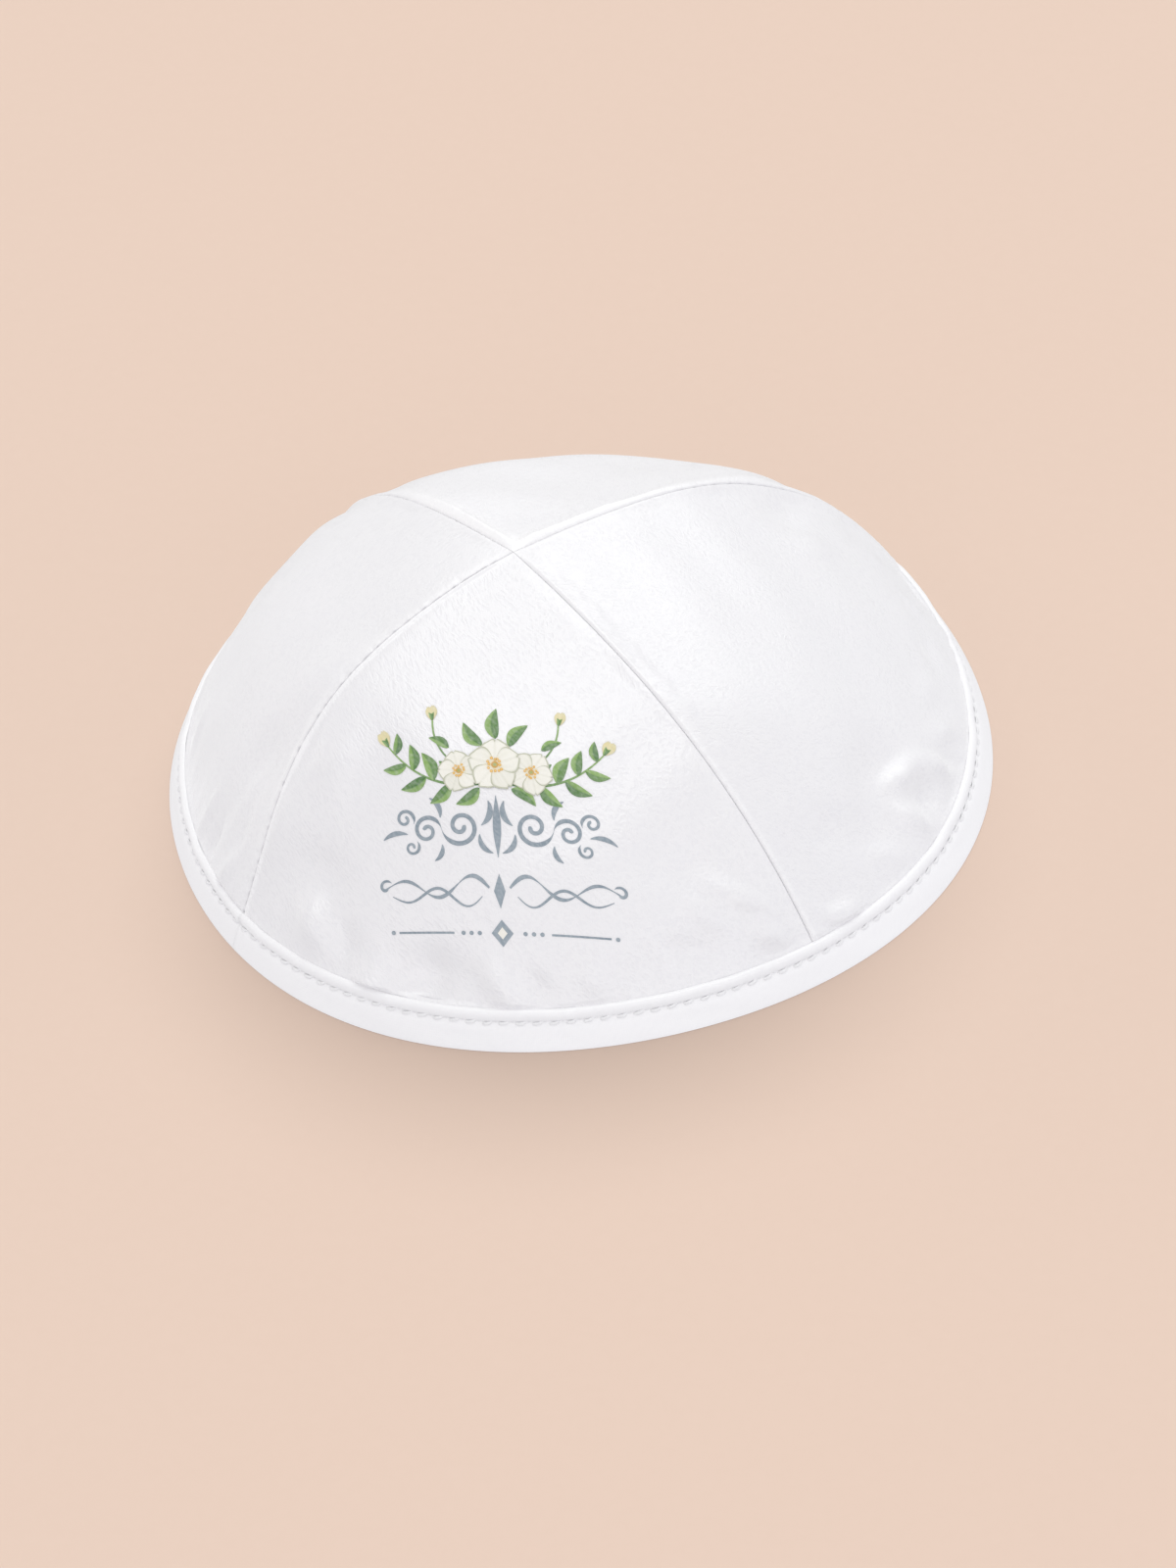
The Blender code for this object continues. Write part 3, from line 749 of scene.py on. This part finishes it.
# an open blossom: five petals round a heart with a ring of anthers
def addBlossom(centre, radius, turn, layer, seed):
    draw = np.random.default_rng(seed)
    for petal in range(5):
        angle = turn + 72 * petal + draw.uniform(-6, 6)
        length, width = radius * draw.uniform(0.92, 1.04), radius * draw.uniform(0.88, 1.02)
        tone = draw.uniform(-0.08, 0.16)
        addPetal(centre, angle, length * 1.05, width * 1.1, layer + 0.4 * petal, 0.95)
        addPetal(centre, angle + 1.5, length, width, layer + 0.4 * petal + 0.2, tone)
    for anther in range(12):
        angle = 30 * anther + draw.uniform(-9, 9)
        spot = placed(centre, angle, radius * draw.uniform(0.17, 0.3), 0)
        addDab(spot, radius * 0.055, layer + 3.0, "antherLight", "anther")
    addDab(centre, radius * 0.13, layer + 2.6, "leafLight", "anther")


# a bud on its stalk: two small petals in a green cup
def addBud(base, turn, length):
    addPetal(base, turn - 9, length, length * 0.52, 2, 0.1, "bud")
    addPetal(base, turn + 9, length * 0.94, length * 0.46, 2.2, 0.0, "bud")
    addLeaf(base, turn - 16, length * 0.55, length * 0.24, 2.5)
    addLeaf(base, turn + 16, length * 0.55, length * 0.24, 2.6, -0.12)


# the sprig's tables, in millimetres and degrees
sprig = {
    # leaves on a stalk: share along it, side, length
    "stalkLeaves": ((0.3, 1, 6.2), (0.36, -1, 5.6), (0.52, 1, 6.0), (0.6, -1, 5.6),
                    (0.74, 1, 5.2), (0.8, -1, 4.8), (0.93, 1, 4.2)),
    # leaves behind the blossoms: base, turn, length
    "heartLeaves": (((-2.5, 17.5), 128, 6.0), ((2.5, 17.5), 52, 6.0), ((0.0, 19.0), 90, 6.4),
                    ((-3.0, 9.0), 214, 5.6), ((3.0, 9.0), -34, 5.6)),
    # blossoms: centre, radius, turn, layer, seed
    "blossoms": (((-6.9, 12.4), 4.3, 100, 3, 31), ((6.9, 12.4), 4.3, 62, 3, 32),
                 ((0.0, 13.6), 5.3, 90, 6.5, 33)),
    "leafWidth": 0.42, "leafTurn": 48,
}


# the sprig: two bowed stalks that part from the middle, with leaves, buds and three blossoms
def drawSprig():
    green = ("leafDark", "leafLight")
    for side in (-1, 1):
        x, y = bowedLine((0.0, 10.5), (side * 20.5, 17.5), side * -0.17, 40)
        addStroke(x, y, 0.32 - 0.18 * np.linspace(0, 1, 40), 0.5, *green)
        for place, (at, way, length) in enumerate(sprig["stalkLeaves"]):
            spot = int(at * 39)
            heading = degrees(atan2(y[spot] - y[spot - 1], x[spot] - x[spot - 1]))
            turn, width = heading + side * way * sprig["leafTurn"], length * sprig["leafWidth"]
            addLeaf((x[spot], y[spot]), turn, length, width, 1 + 0.1 * place, 0.1 * side * way,
                    0.12 * (place % 3) - 0.1)
        addBud((x[-1], y[-1]), 90 - side * 28, 3.6)
        x, y = bowedLine((side * 6.5, 13.0), (side * 12.0, 22.5), side * -0.14, 20)
        addStroke(x, y, np.full(20, 0.17), 0.6, *green)
        addBud((x[-1], y[-1]), 90 - side * 8, 3.3)
        addLeaf((side * 8.8, 17.0), 90 - side * 62, 4.4, 1.8, 1.9, 0.1 * side)
    for spot, turn, length in sprig["heartLeaves"]:
        addLeaf(spot, turn, length, length * sprig["leafWidth"], 1.3)
    for blossom in sprig["blossoms"]:
        addBlossom(*blossom)


# the ornaments' tables, in millimetres from the print's middle
ornament = {
    # strokes beside the scrolls: start, end, bow, half width
    "ticks": (((10.9, 3.4), (12.8, 7.2), 0.18, 0.46), ((10.8, -1.7), (12.4, -4.8), -0.18, 0.4),
              ((17.6, 0.4), (22.6, -0.6), 0.14, 0.42), ((3.0, 1.9), (1.5, 6.6), 0.2, 0.52),
              ((3.4, 0.2), (0.9, -3.4), 0.2, 0.45)),
    "dots": (4.4, 6.0, 7.6, 21.7),
    "dotRadius": 0.42, "ruleHeight": -18.6,
    "ruleEnds": (9.4, 20.5),
    # diamonds: height, half length and half height, layer, ink
    "diamonds": ((-18.6, 2.1, 2.6, 0.4, "slate"), (-18.6, 0.945, 1.17, 0.9, "petal"),
                 (-10.6, 1.1, 3.3, 0.5, "slate")),
}


# scrolls on touching circles: each curl ends where its circle touches the one before, so that
# the lines run into one another. Under them thin flourishes, and a ruled line with dots
def drawOrnaments():
    level = ornament["ruleHeight"]
    bulge = np.sin(pi * np.linspace(0, 1, 24))
    for side in (-1, 1):
        first, second = (7.0, 1.7), placed((7.0, 1.7), -6, 6.7, 0)
        third, fourth = placed(second, 28, 4.9, 0), placed(second, -44, 4.5, 0)
        addScroll(first, -6 - 360 * 1.55, 1.55, (0.5, 3.8), (0.42, 0.34), side)
        addScroll(second, 174 - 360 * 1.45, 1.45, (0.5, 2.9), (0.38, 0.28), side, 0.2)
        addScroll(third, 208 - 360 * 1.3, 1.3, (0.4, 2.0), (0.3, 0.22), side, 0.4)
        addScroll(fourth, 136 + 360 * 1.2, -1.2, (0.35, 1.6), (0.26, 0.18), side, 0.6)
        for start, end, bow, half in ornament["ticks"]:
            x, y = bowedLine(start, end, bow, 24)
            addStroke(side * x, y, 0.07 + half * bulge ** 0.9, 0.8)
        share = np.linspace(0, 1, 90)
        swing = np.sin(circle * share * 1.5) * (1 - 0.55 * share)
        thick = np.abs(np.sin(circle * share * 1.5 + 0.5)) ** 1.5 * (1 - 0.4 * share)
        addStroke(side * (2.0 + 20.5 * share), 2.5 * swing - 10.0, 0.09 + 0.34 * thick, 0.3)
        addStroke(side * (3.4 + 18.0 * share), -2.1 * swing - 11.6, 0.08 + 0.2 * np.sin(pi * share), 0.1)
        addScroll((22.8, -9.8), 200, 0.85, (0.3, 1.5), (0.15, 0.26), side, 0.2)
        for place in ornament["dots"]:
            addDab((side * place, level), ornament["dotRadius"], 0.4)
        inner, outer = ornament["ruleEnds"]
        x, y = bowedLine((side * inner, level), (side * outer, level), 0.0, 20)
        addStroke(x, y, np.full(20, 0.2), 0.4)
    x, y = bowedLine((0.0, -4.2), (0.0, 7.6), 0.0, 24)
    addStroke(x, y, 0.06 + 0.72 * bulge ** 1.2, 1.0)
    along, across = shapeGrid(9, 9, -1)
    for height, halfLength, halfHeight, layer, ink in ornament["diamonds"]:
        addShape(halfLength * along, height + halfHeight * across * (1 - np.abs(along) * 0.999),
                 np.asarray(printLook[ink]), layer)


# lays the shapes on the front gore. A flat place lies hypot(x, y) from the tip and as far round
# as its angle there; thin ink layers follow the cloth's own folds
def layPrint():
    look = printLook
    fine = np.linspace(0.01, quarter, 500)
    width, down = clothLengths(0, fine)
    x = np.concatenate([shape[0].ravel() for shape in printShapes]) * millimetre
    y = (look["middle"] - np.concatenate([shape[1].ravel() for shape in printShapes])) * millimetre
    colour = np.concatenate([shape[2].reshape(-1, 3) for shape in printShapes])
    layer = np.concatenate([np.full(shape[0].size, shape[3]) for shape in printShapes])
    away = np.hypot(x, y)
    polar = np.interp(away, down, fine)
    share = 0.5 + away * np.arctan2(x, y) / np.interp(polar, fine, width)
    points = goreSurface(0, share, polar, (look["lift"] + look["layer"] * layer) * millimetre)[0]
    faces, first = [], 0
    for shape in printShapes:
        faces.append(gridFaces(first + np.arange(shape[0].size).reshape(shape[0].shape)))
        first += shape[0].size
    faces = np.concatenate(faces)
    # faces that look inwards are turned over
    a, b, c, d = (points[faces[:, corner]] for corner in range(4))
    outward = crownNormal(share[faces[:, 0]], polar[faces[:, 0]])
    flip = (np.cross(c - a, d - b) * outward).sum(axis=1) < 0
    faces[flip] = faces[flip][:, ::-1]
    piece = meshPiece("goreFrontPrint", points, faces, (makeInkMaterial(),), np.stack([x, y], axis=-1))
    inks = piece.data.color_attributes.new("ink", "FLOAT_COLOR", "POINT")
    inks.data.foreach_set("color", np.hstack([colour, np.ones((len(colour), 1))]).astype(np.float32).ravel())
    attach(piece, "root")
    print("print laid:", len(printShapes), "shapes,", len(faces), "faces")


# ink on satin: the shape's own colours, a little uneven, with the cloth's grain showing through
def makeInkMaterial():
    look = printLook
    sheet = Finish("printInk")
    ink = sheet.node("ShaderNodeAttribute", {"attribute_name": "ink"})
    wide, tall = satinLook["ridgeSize"]
    grain = sheet.noise(sheet.mapped((wide / 2, tall / 2, wide / 2), satinLook["ridgeTurn"]))
    paler = sheet.mixColour(((grain - 0.5) * 0.5 + 0.06).clamp(), ink, look["satin"])
    rough = (grain * 0.15 + look["roughness"]).clamp()
    return sheet.shade(paler, rough, sheet.bump(grain, look["depth"], 0.7), 0.1)


drawSprig()
drawOrnaments()
layPrint()


bindingCloth = {
    "steps": 1020, "start": 2.5, "stitchShare": 0.69, "stitchPitch": 0.0032, "pillow": 0.00012,
    "pillowReach": 0.0011, "legEdge": 0.0002, "rollEdge": 0.0008, "wobble": 0.0001,
    "wobbleWaves": (0.011, 0.017, 0.029),
    "bandWobble": 0.00006,
    "bandWaves": (0.023, 0.037),
    "bandMiddle": 0.0026, "bandReach": 0.0016, "outlineCount": 76, "legCount": 20,
    "grooveAbove": 0.004,
}

# the binding's outline from the foot up the outer leg, over the fold, down into the channel,
# across it, and over the inner leg: height and way out, in millimetres
bindingOutline = np.array([
    (0, 0.2), (0.06, 0.46), (0.3, 0.6), (1.2, 0.66), (2.6, 0.68), (4.00, 0.66), (4.62, 0.56),
    (4.9, 0.38), (5.14, 0.22), (5.38, 0.34), (5.7, 0.6), (6.2, 0.8), (6.78, 0.93), (7.14, 0.9),
    (7.36, 0.66), (7.42, 0.34), (7.32, 0.06), (7.05, -0.04), (5.2, -0.05), (3.00, -0.06), (1.4, -0.2),
    (1.02, -0.7), (1.00, -1.4), (1.02, -2.1), (1.4, -2.4), (3.5, -2.42), (5.8, -2.42),
    (6.45, -2.6), (6.6, -2.92), (6.4, -3.24), (5.6, -3.4), (5.18, -3.26), (4.8, -3.4),
    (3.00, -3.42), (1.2, -3.42), (0.3, -3.38), (0.06, -3.22), (0, -2.95), (0, -2.00), (0, -0.8),
]) * millimetre


# a closed smooth curve through the outline's points, read at even lengths: each stretch is
# the cubic whose slope at a point is half the way between the point's two neighbours
def closedCurve(points, count):
    before, after = np.roll(points, 1, axis=0), np.roll(points, -1, axis=0)
    slope = (after - before) / 2
    t = np.linspace(0, 1, 12, endpoint=False)[:, None, None]
    curve = (points + (after - points) * (3 * t ** 2 - 2 * t ** 3)
             + slope * (t - 2 * t ** 2 + t ** 3) + np.roll(slope, -1, axis=0) * (t ** 3 - t ** 2))
    curve = curve.transpose(1, 0, 2).reshape(-1, 2)
    loop = np.vstack([curve, curve[:1]])
    gone = lengthsAlong(loop)
    at = np.linspace(0, gone[-1], count, endpoint=False)
    return np.stack([np.interp(at, gone, loop[:, 0]), np.interp(at, gone, loop[:, 1])], axis=1)


# lengths round the rim at the stitch line, for each place around
rimAround = np.linspace(0, gores, 2001)
stitchHeight = cap["bandHeight"] * bindingCloth["stitchShare"]
rimLengths = lengthsAlong(bandPoint(rimAround, stitchHeight + 0 * rimAround, 0 * rimAround))
stitchCount = round(rimLengths[-1] / bindingCloth["stitchPitch"])
stitchStep = rimLengths[-1] / stitchCount


# how far the outer leg swells between stitches: a wave of the stitch pitch that is held in at
# each stitch end, strongest at the stitch line, with a slow wobble of the roll and of the band
def bindingSwell(length, height, out):
    look = bindingCloth
    outside = smoothStep((out + look["legEdge"]) / (2 * look["legEdge"]))
    pillow = np.abs(np.sin(pi * length / stitchStep)) ** 0.7 - 0.6
    pillow = look["pillow"] * pillow * bell(height - stitchHeight, look["pillowReach"])
    roll = smoothStep((height - stitchHeight) / look["rollEdge"])
    wobble = look["wobble"] * unevenWave(length, look["wobbleWaves"], 7)
    band = look["bandWobble"] * unevenWave(length + height * 2, look["bandWaves"], 8)
    return outside * (pillow + wobble * roll + band * bell(height - look["bandMiddle"], look["bandReach"]))


bindingLook = {
    "white": (0.955, 0.953, 0.965),
    "toneAndTroughShadeWhite": (0.925, 0.923, 0.94),
    "ridgeDepth": 0.000012,
    "ridgeSize": (0.0012, 0.0028),
    "metallic": 0.0, "roughness": 0.33, "sheen": 0.2,
}


# the binding: its outline carried round the rim, each point moved out by the swelling
def makeBinding():
    look = bindingCloth
    around = look["start"] + np.linspace(0, gores, look["steps"], endpoint=False)[:, None]
    length = np.interp(np.mod(around, gores), rimAround, rimLengths)
    outline = closedCurve(bindingOutline, look["outlineCount"])
    height, out = np.maximum(outline[:, 0], 0.0), outline[:, 1]
    swell = bindingSwell(length, height[None, :], out[None, :])
    points = bandPoint(around, np.broadcast_to(height, swell.shape), out + swell)
    points[..., 2] = np.maximum(points[..., 2], 0.0)
    steps, corners = points.shape[:2]
    grid = np.arange(steps * corners).reshape(steps, corners)
    grid = np.vstack([np.hstack([grid, grid[:, :1]]), np.hstack([grid[0], grid[0, :1]])[None, :]])
    gone = lengthsAlong(outline)
    uv = np.stack(np.broadcast_arrays(length, gone[None, :]), axis=-1)
    # the groove is the innermost place of the outer leg's upper half
    leg = slice(look["legCount"])
    groove = gone[leg][np.argmin(np.where(height[leg] > look["grooveAbove"], out[leg], 1))]
    satin = satinMaterial("bindingSatin", {**satinLook, **bindingLook}, (stitchStep, float(groove)))
    piece = meshPiece("bindingStrip", points, gridFaces(grid), (satin,), uv, sharp=70)
    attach(piece, "root")
    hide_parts("rim_binding")
    print("binding made:", steps, "steps")


makeBinding()


stitchThread = {
    "length": 0.0024, "width": 0.00056, "thickness": 0.00036, "jitter": 0.00005, "slant": 10,
    "slantSpread": 3.0, "proud": 0.00058, "sink": 0.00034, "rings": 9, "sides": 8,
    "innerProud": -0.00335,
    "white": (0.96, 0.96, 0.965),
    "shadow": (0.84, 0.84, 0.87),
    "twist": 0.00022, "roughness": 0.42, "depth": 0.00003,
}


# polyester thread: slanting strands along its length
def makeThreadMaterial(look):
    sheet = Finish("stitchThread")
    x, y = sheet.split(sheet.mapped((look["twist"] / circle,) * 3))
    strands = (x + y).wave()
    white = sheet.mixColour(strands * 0.6, look["white"], look["shadow"])
    return sheet.shade(white, look["roughness"], sheet.bump(strands, look["depth"]), 0.2)


threadMaterial = makeThreadMaterial(stitchThread)


# a row of stitches: each is a rounded bead along a short slanted arc whose ends dive into the
# cloth; all of them are one grid of points, stitch by ring by side
def makeStitches(name, way, proud):
    look = stitchThread
    draw = np.random.default_rng(21)
    middle = (np.arange(stitchCount) + 0.5) * stitchStep
    jitter = draw.normal(0, look["jitter"], stitchCount)
    slant = np.radians(look["slant"] + draw.normal(0, look["slantSpread"], stitchCount)) * way
    along = np.linspace(-1, 1, look["rings"])
    thick = np.sqrt(np.clip(1 - np.abs(along) ** 3.2, 0, 1))[None, :, None]
    turn = np.linspace(0, circle, look["sides"], endpoint=False)
    lengthwise = along[None, :, None] * look["length"] / 2
    sideways = thick * np.cos(turn) * look["width"] / 2
    arch = look["sink"] * np.abs(along) ** 2.4
    outward = thick * np.sin(turn) * look["thickness"] / 2 - arch[None, :, None]
    cosine, sine = np.cos(slant)[:, None, None], np.sin(slant)[:, None, None]
    length = middle[:, None, None] + lengthwise * cosine - sideways * sine
    height = stitchHeight + jitter[:, None, None] + lengthwise * sine + sideways * cosine
    around = np.interp(np.mod(length, rimLengths[-1]), rimLengths, rimAround)
    points = bandPoint(around, height, proud + way * outward + 0 * length)
    count, rings, sides = points.shape[:3]
    grid = np.arange(count * rings * sides).reshape(count, rings, sides)
    grid = np.concatenate([grid, grid[:, :, :1]], axis=2)
    quads = np.stack([grid[:, :-1, :-1], grid[:, :-1, 1:], grid[:, 1:, 1:], grid[:, 1:, :-1]], axis=-1)
    quads = quads.reshape(-1, 4)[:, ::way]  # the inner row faces the other way
    uv = np.stack(np.broadcast_arrays(length, height), axis=-1)
    piece = meshPiece(name, points, quads, (threadMaterial,), uv)
    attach(piece, "root")
    print("stitches made:", name, count)


makeStitches("topStitches", 1, stitchThread["proud"])
makeStitches("innerStitches", -1, stitchThread["innerProud"])


floorLook = {
    "halfSize": 3.0,
    "colour": (0.8, 0.625, 0.52),
    "grainColour": (0.785, 0.61, 0.505),
    "grainScale": 350.0, "grainDepth": 0.00002, "roughness": 0.9,
    # the painted shadow round the cap's foot: its colour, middle, size and reach
    "shadowPoolColour": (0.62, 0.482, 0.4),
    "shadowPoolMiddle": (0.002, -0.024, 0.0),
    "shadowPoolSize": (0.08, 0.086, 1.0),
    "shadowPoolReach": 1.5,
}


# a plain pale paper sweep: a flat sheet under the cap, with a painted shadow round the cap's foot,
# darker by the square of how far inside the shaded oval a place lies
def makeFloor(look):
    sheet = Finish("paperFloor")
    grain = sheet.noise(sheet.mapped(source="Object"), look["grainScale"], 3.0, 0.6)
    colour = sheet.mixColour(grain, look["colour"], look["grainColour"])
    x, y = sheet.split(sheet.mapped(look["shadowPoolSize"], source="Object", middle=look["shadowPoolMiddle"]))
    # painted shadow: an oval round the cap's foot, darker towards its middle
    paintedShadow = (look["shadowPoolReach"] - x * x - y * y).clamp()
    colour = sheet.mixColour(paintedShadow * paintedShadow, colour, look["shadowPoolColour"])
    material = sheet.shade(colour, look["roughness"], sheet.bump(grain, look["grainDepth"]), specular=0.1)
    half = look["halfSize"]
    points = [(-half, -half, 0), (half, -half, 0), (half, half, 0), (-half, half, 0)]
    floor = meshPiece("studioFloor", points, [(0, 1, 2, 3)], (material,))
    floor.visible_diffuse = False  # the photo's cap hangs clear of its backdrop, which sheds no tint on it
    floor.visible_glossy = False
    print("floor made")


makeFloor(floorLook)


lightLook = {
    "distance": 3.0, "size": 1.7,
    "airColour": (0.993, 0.978, 1.0, 1.0),
    "airStrength": 0.7,
    # name, turn round the cap from the front and height above the floor in degrees, watts, colour,
    # and whether the satin's gloss shows it
    "rows": (
        ("topSoftbox", 0, 88, 11.2, (0.97, 1.0, 0.95), True),
        ("backTopSoftbox", 186, 56, 7.0, (0.96, 1.0, 0.945), True),
        ("backRightSoftbox", 148, 55, 5.9, (0.955, 1.0, 0.97), True),
        ("frontHighSoftbox", 5, 62, 2.2, (1.0, 0.99, 0.97), True),
        ("frontSoftbox", 8, 14, 5.4, (1.0, 0.97, 0.96), True),
        ("frontLeftSoftbox", 335, 24, 4.6, (1.0, 0.985, 0.97), True),
        ("frontRightSoftbox", 42, 22, 4.4, (0.975, 0.98, 1.0), True),
        ("rightLowSoftbox", 82, 8, 8.6, (0.93, 0.955, 1.0), False),
        ("leftLowSoftbox", 250, 9, 12.0, (1.0, 0.965, 0.92), False),
        ("leftFrontSoftbox", 300, 8, 1.6, (1.0, 0.98, 0.96), True),
        ("farRightSoftbox", 116, 20, 3.6, (0.97, 0.98, 1.0), False),
        ("backLowSoftbox", 180, 30, 4.6, (0.98, 1.0, 0.995), True),
    ),
}


# soft square lights in a ring round the cap, each facing it, in an evenly bright air
def makeLights(look):
    aim = Vector((0, 0, cap["crownHeight"] / 2))
    for name, turn, height, watts, colour, shine in look["rows"]:
        turn, height = radians(turn), radians(height)
        data = bpy.data.lights.new(name, "AREA")
        data.shape, data.size, data.energy, data.color = "SQUARE", look["size"], watts, colour
        lamp = bpy.data.objects.new(name, data)
        bpy.context.collection.objects.link(lamp)
        way = Vector((sin(turn) * cos(height), -cos(turn) * cos(height), sin(height)))
        lamp.location = aim + way * look["distance"]
        lamp.rotation_euler = way.to_track_quat("Z", "Y").to_euler()
        lamp.visible_glossy = shine
    world = bpy.data.worlds.new("studioAir")
    world.use_nodes = True
    air = world.node_tree.nodes["Background"]
    air.inputs["Color"].default_value = look["airColour"]
    air.inputs["Strength"].default_value = look["airStrength"]
    bpy.context.scene.world = world
    bpy.context.scene.view_settings.view_transform = "Standard"
    print("lights made:", len(look["rows"]))


makeLights(lightLook)


cameraLook = {
    "elevation": 40.356, "azimuth": 12.566, "roll": -6.889, "radiusPixels": 427.842,
    "distanceRadii": 13.0, "aimHeightRadii": 0.35,
    "aimPixel": (578.6, 664.0),
    "frame": (1200, 1600),
    "sensor": 36.0,
}


# the camera at the photograph's angle: it stands off along its own back direction and turns a
# little, so that the aim point falls on its pixel
def makeCamera(look):
    up, side, roll = (radians(look[key]) for key in ("elevation", "azimuth", "roll"))
    back = Vector((sin(side) * cos(up), -cos(side) * cos(up), sin(up)))
    right = Vector((cos(side), sin(side), 0))
    above = back.cross(right)
    rolledRight = cos(roll) * right + sin(roll) * above
    rolledUp = cos(roll) * above - sin(roll) * right
    wide, tall = look["frame"]
    focalPixels = look["radiusPixels"] * look["distanceRadii"]
    offset = Vector((look["aimPixel"][0] - wide / 2, tall / 2 - look["aimPixel"][1], -focalPixels))
    turn = offset.rotation_difference(Vector((0, 0, -1))).to_matrix()
    basis = Matrix((rolledRight, rolledUp, back)).transposed() @ turn
    data = bpy.data.cameras.new("photoCamera")
    data.sensor_width = look["sensor"]
    data.lens = focalPixels * look["sensor"] / max(wide, tall)
    camera = bpy.data.objects.new("photoCamera", data)
    bpy.context.collection.objects.link(camera)
    aim = Vector((0, 0, look["aimHeightRadii"] * cap["rimRadius"])) - Vector(rimCentre)
    place = aim + back * look["distanceRadii"] * cap["rimRadius"]
    camera.matrix_world = Matrix.Translation(place) @ basis.to_4x4()
    bpy.context.scene.camera = camera
    print("camera made, lens", round(data.lens, 1))


makeCamera(cameraLook)
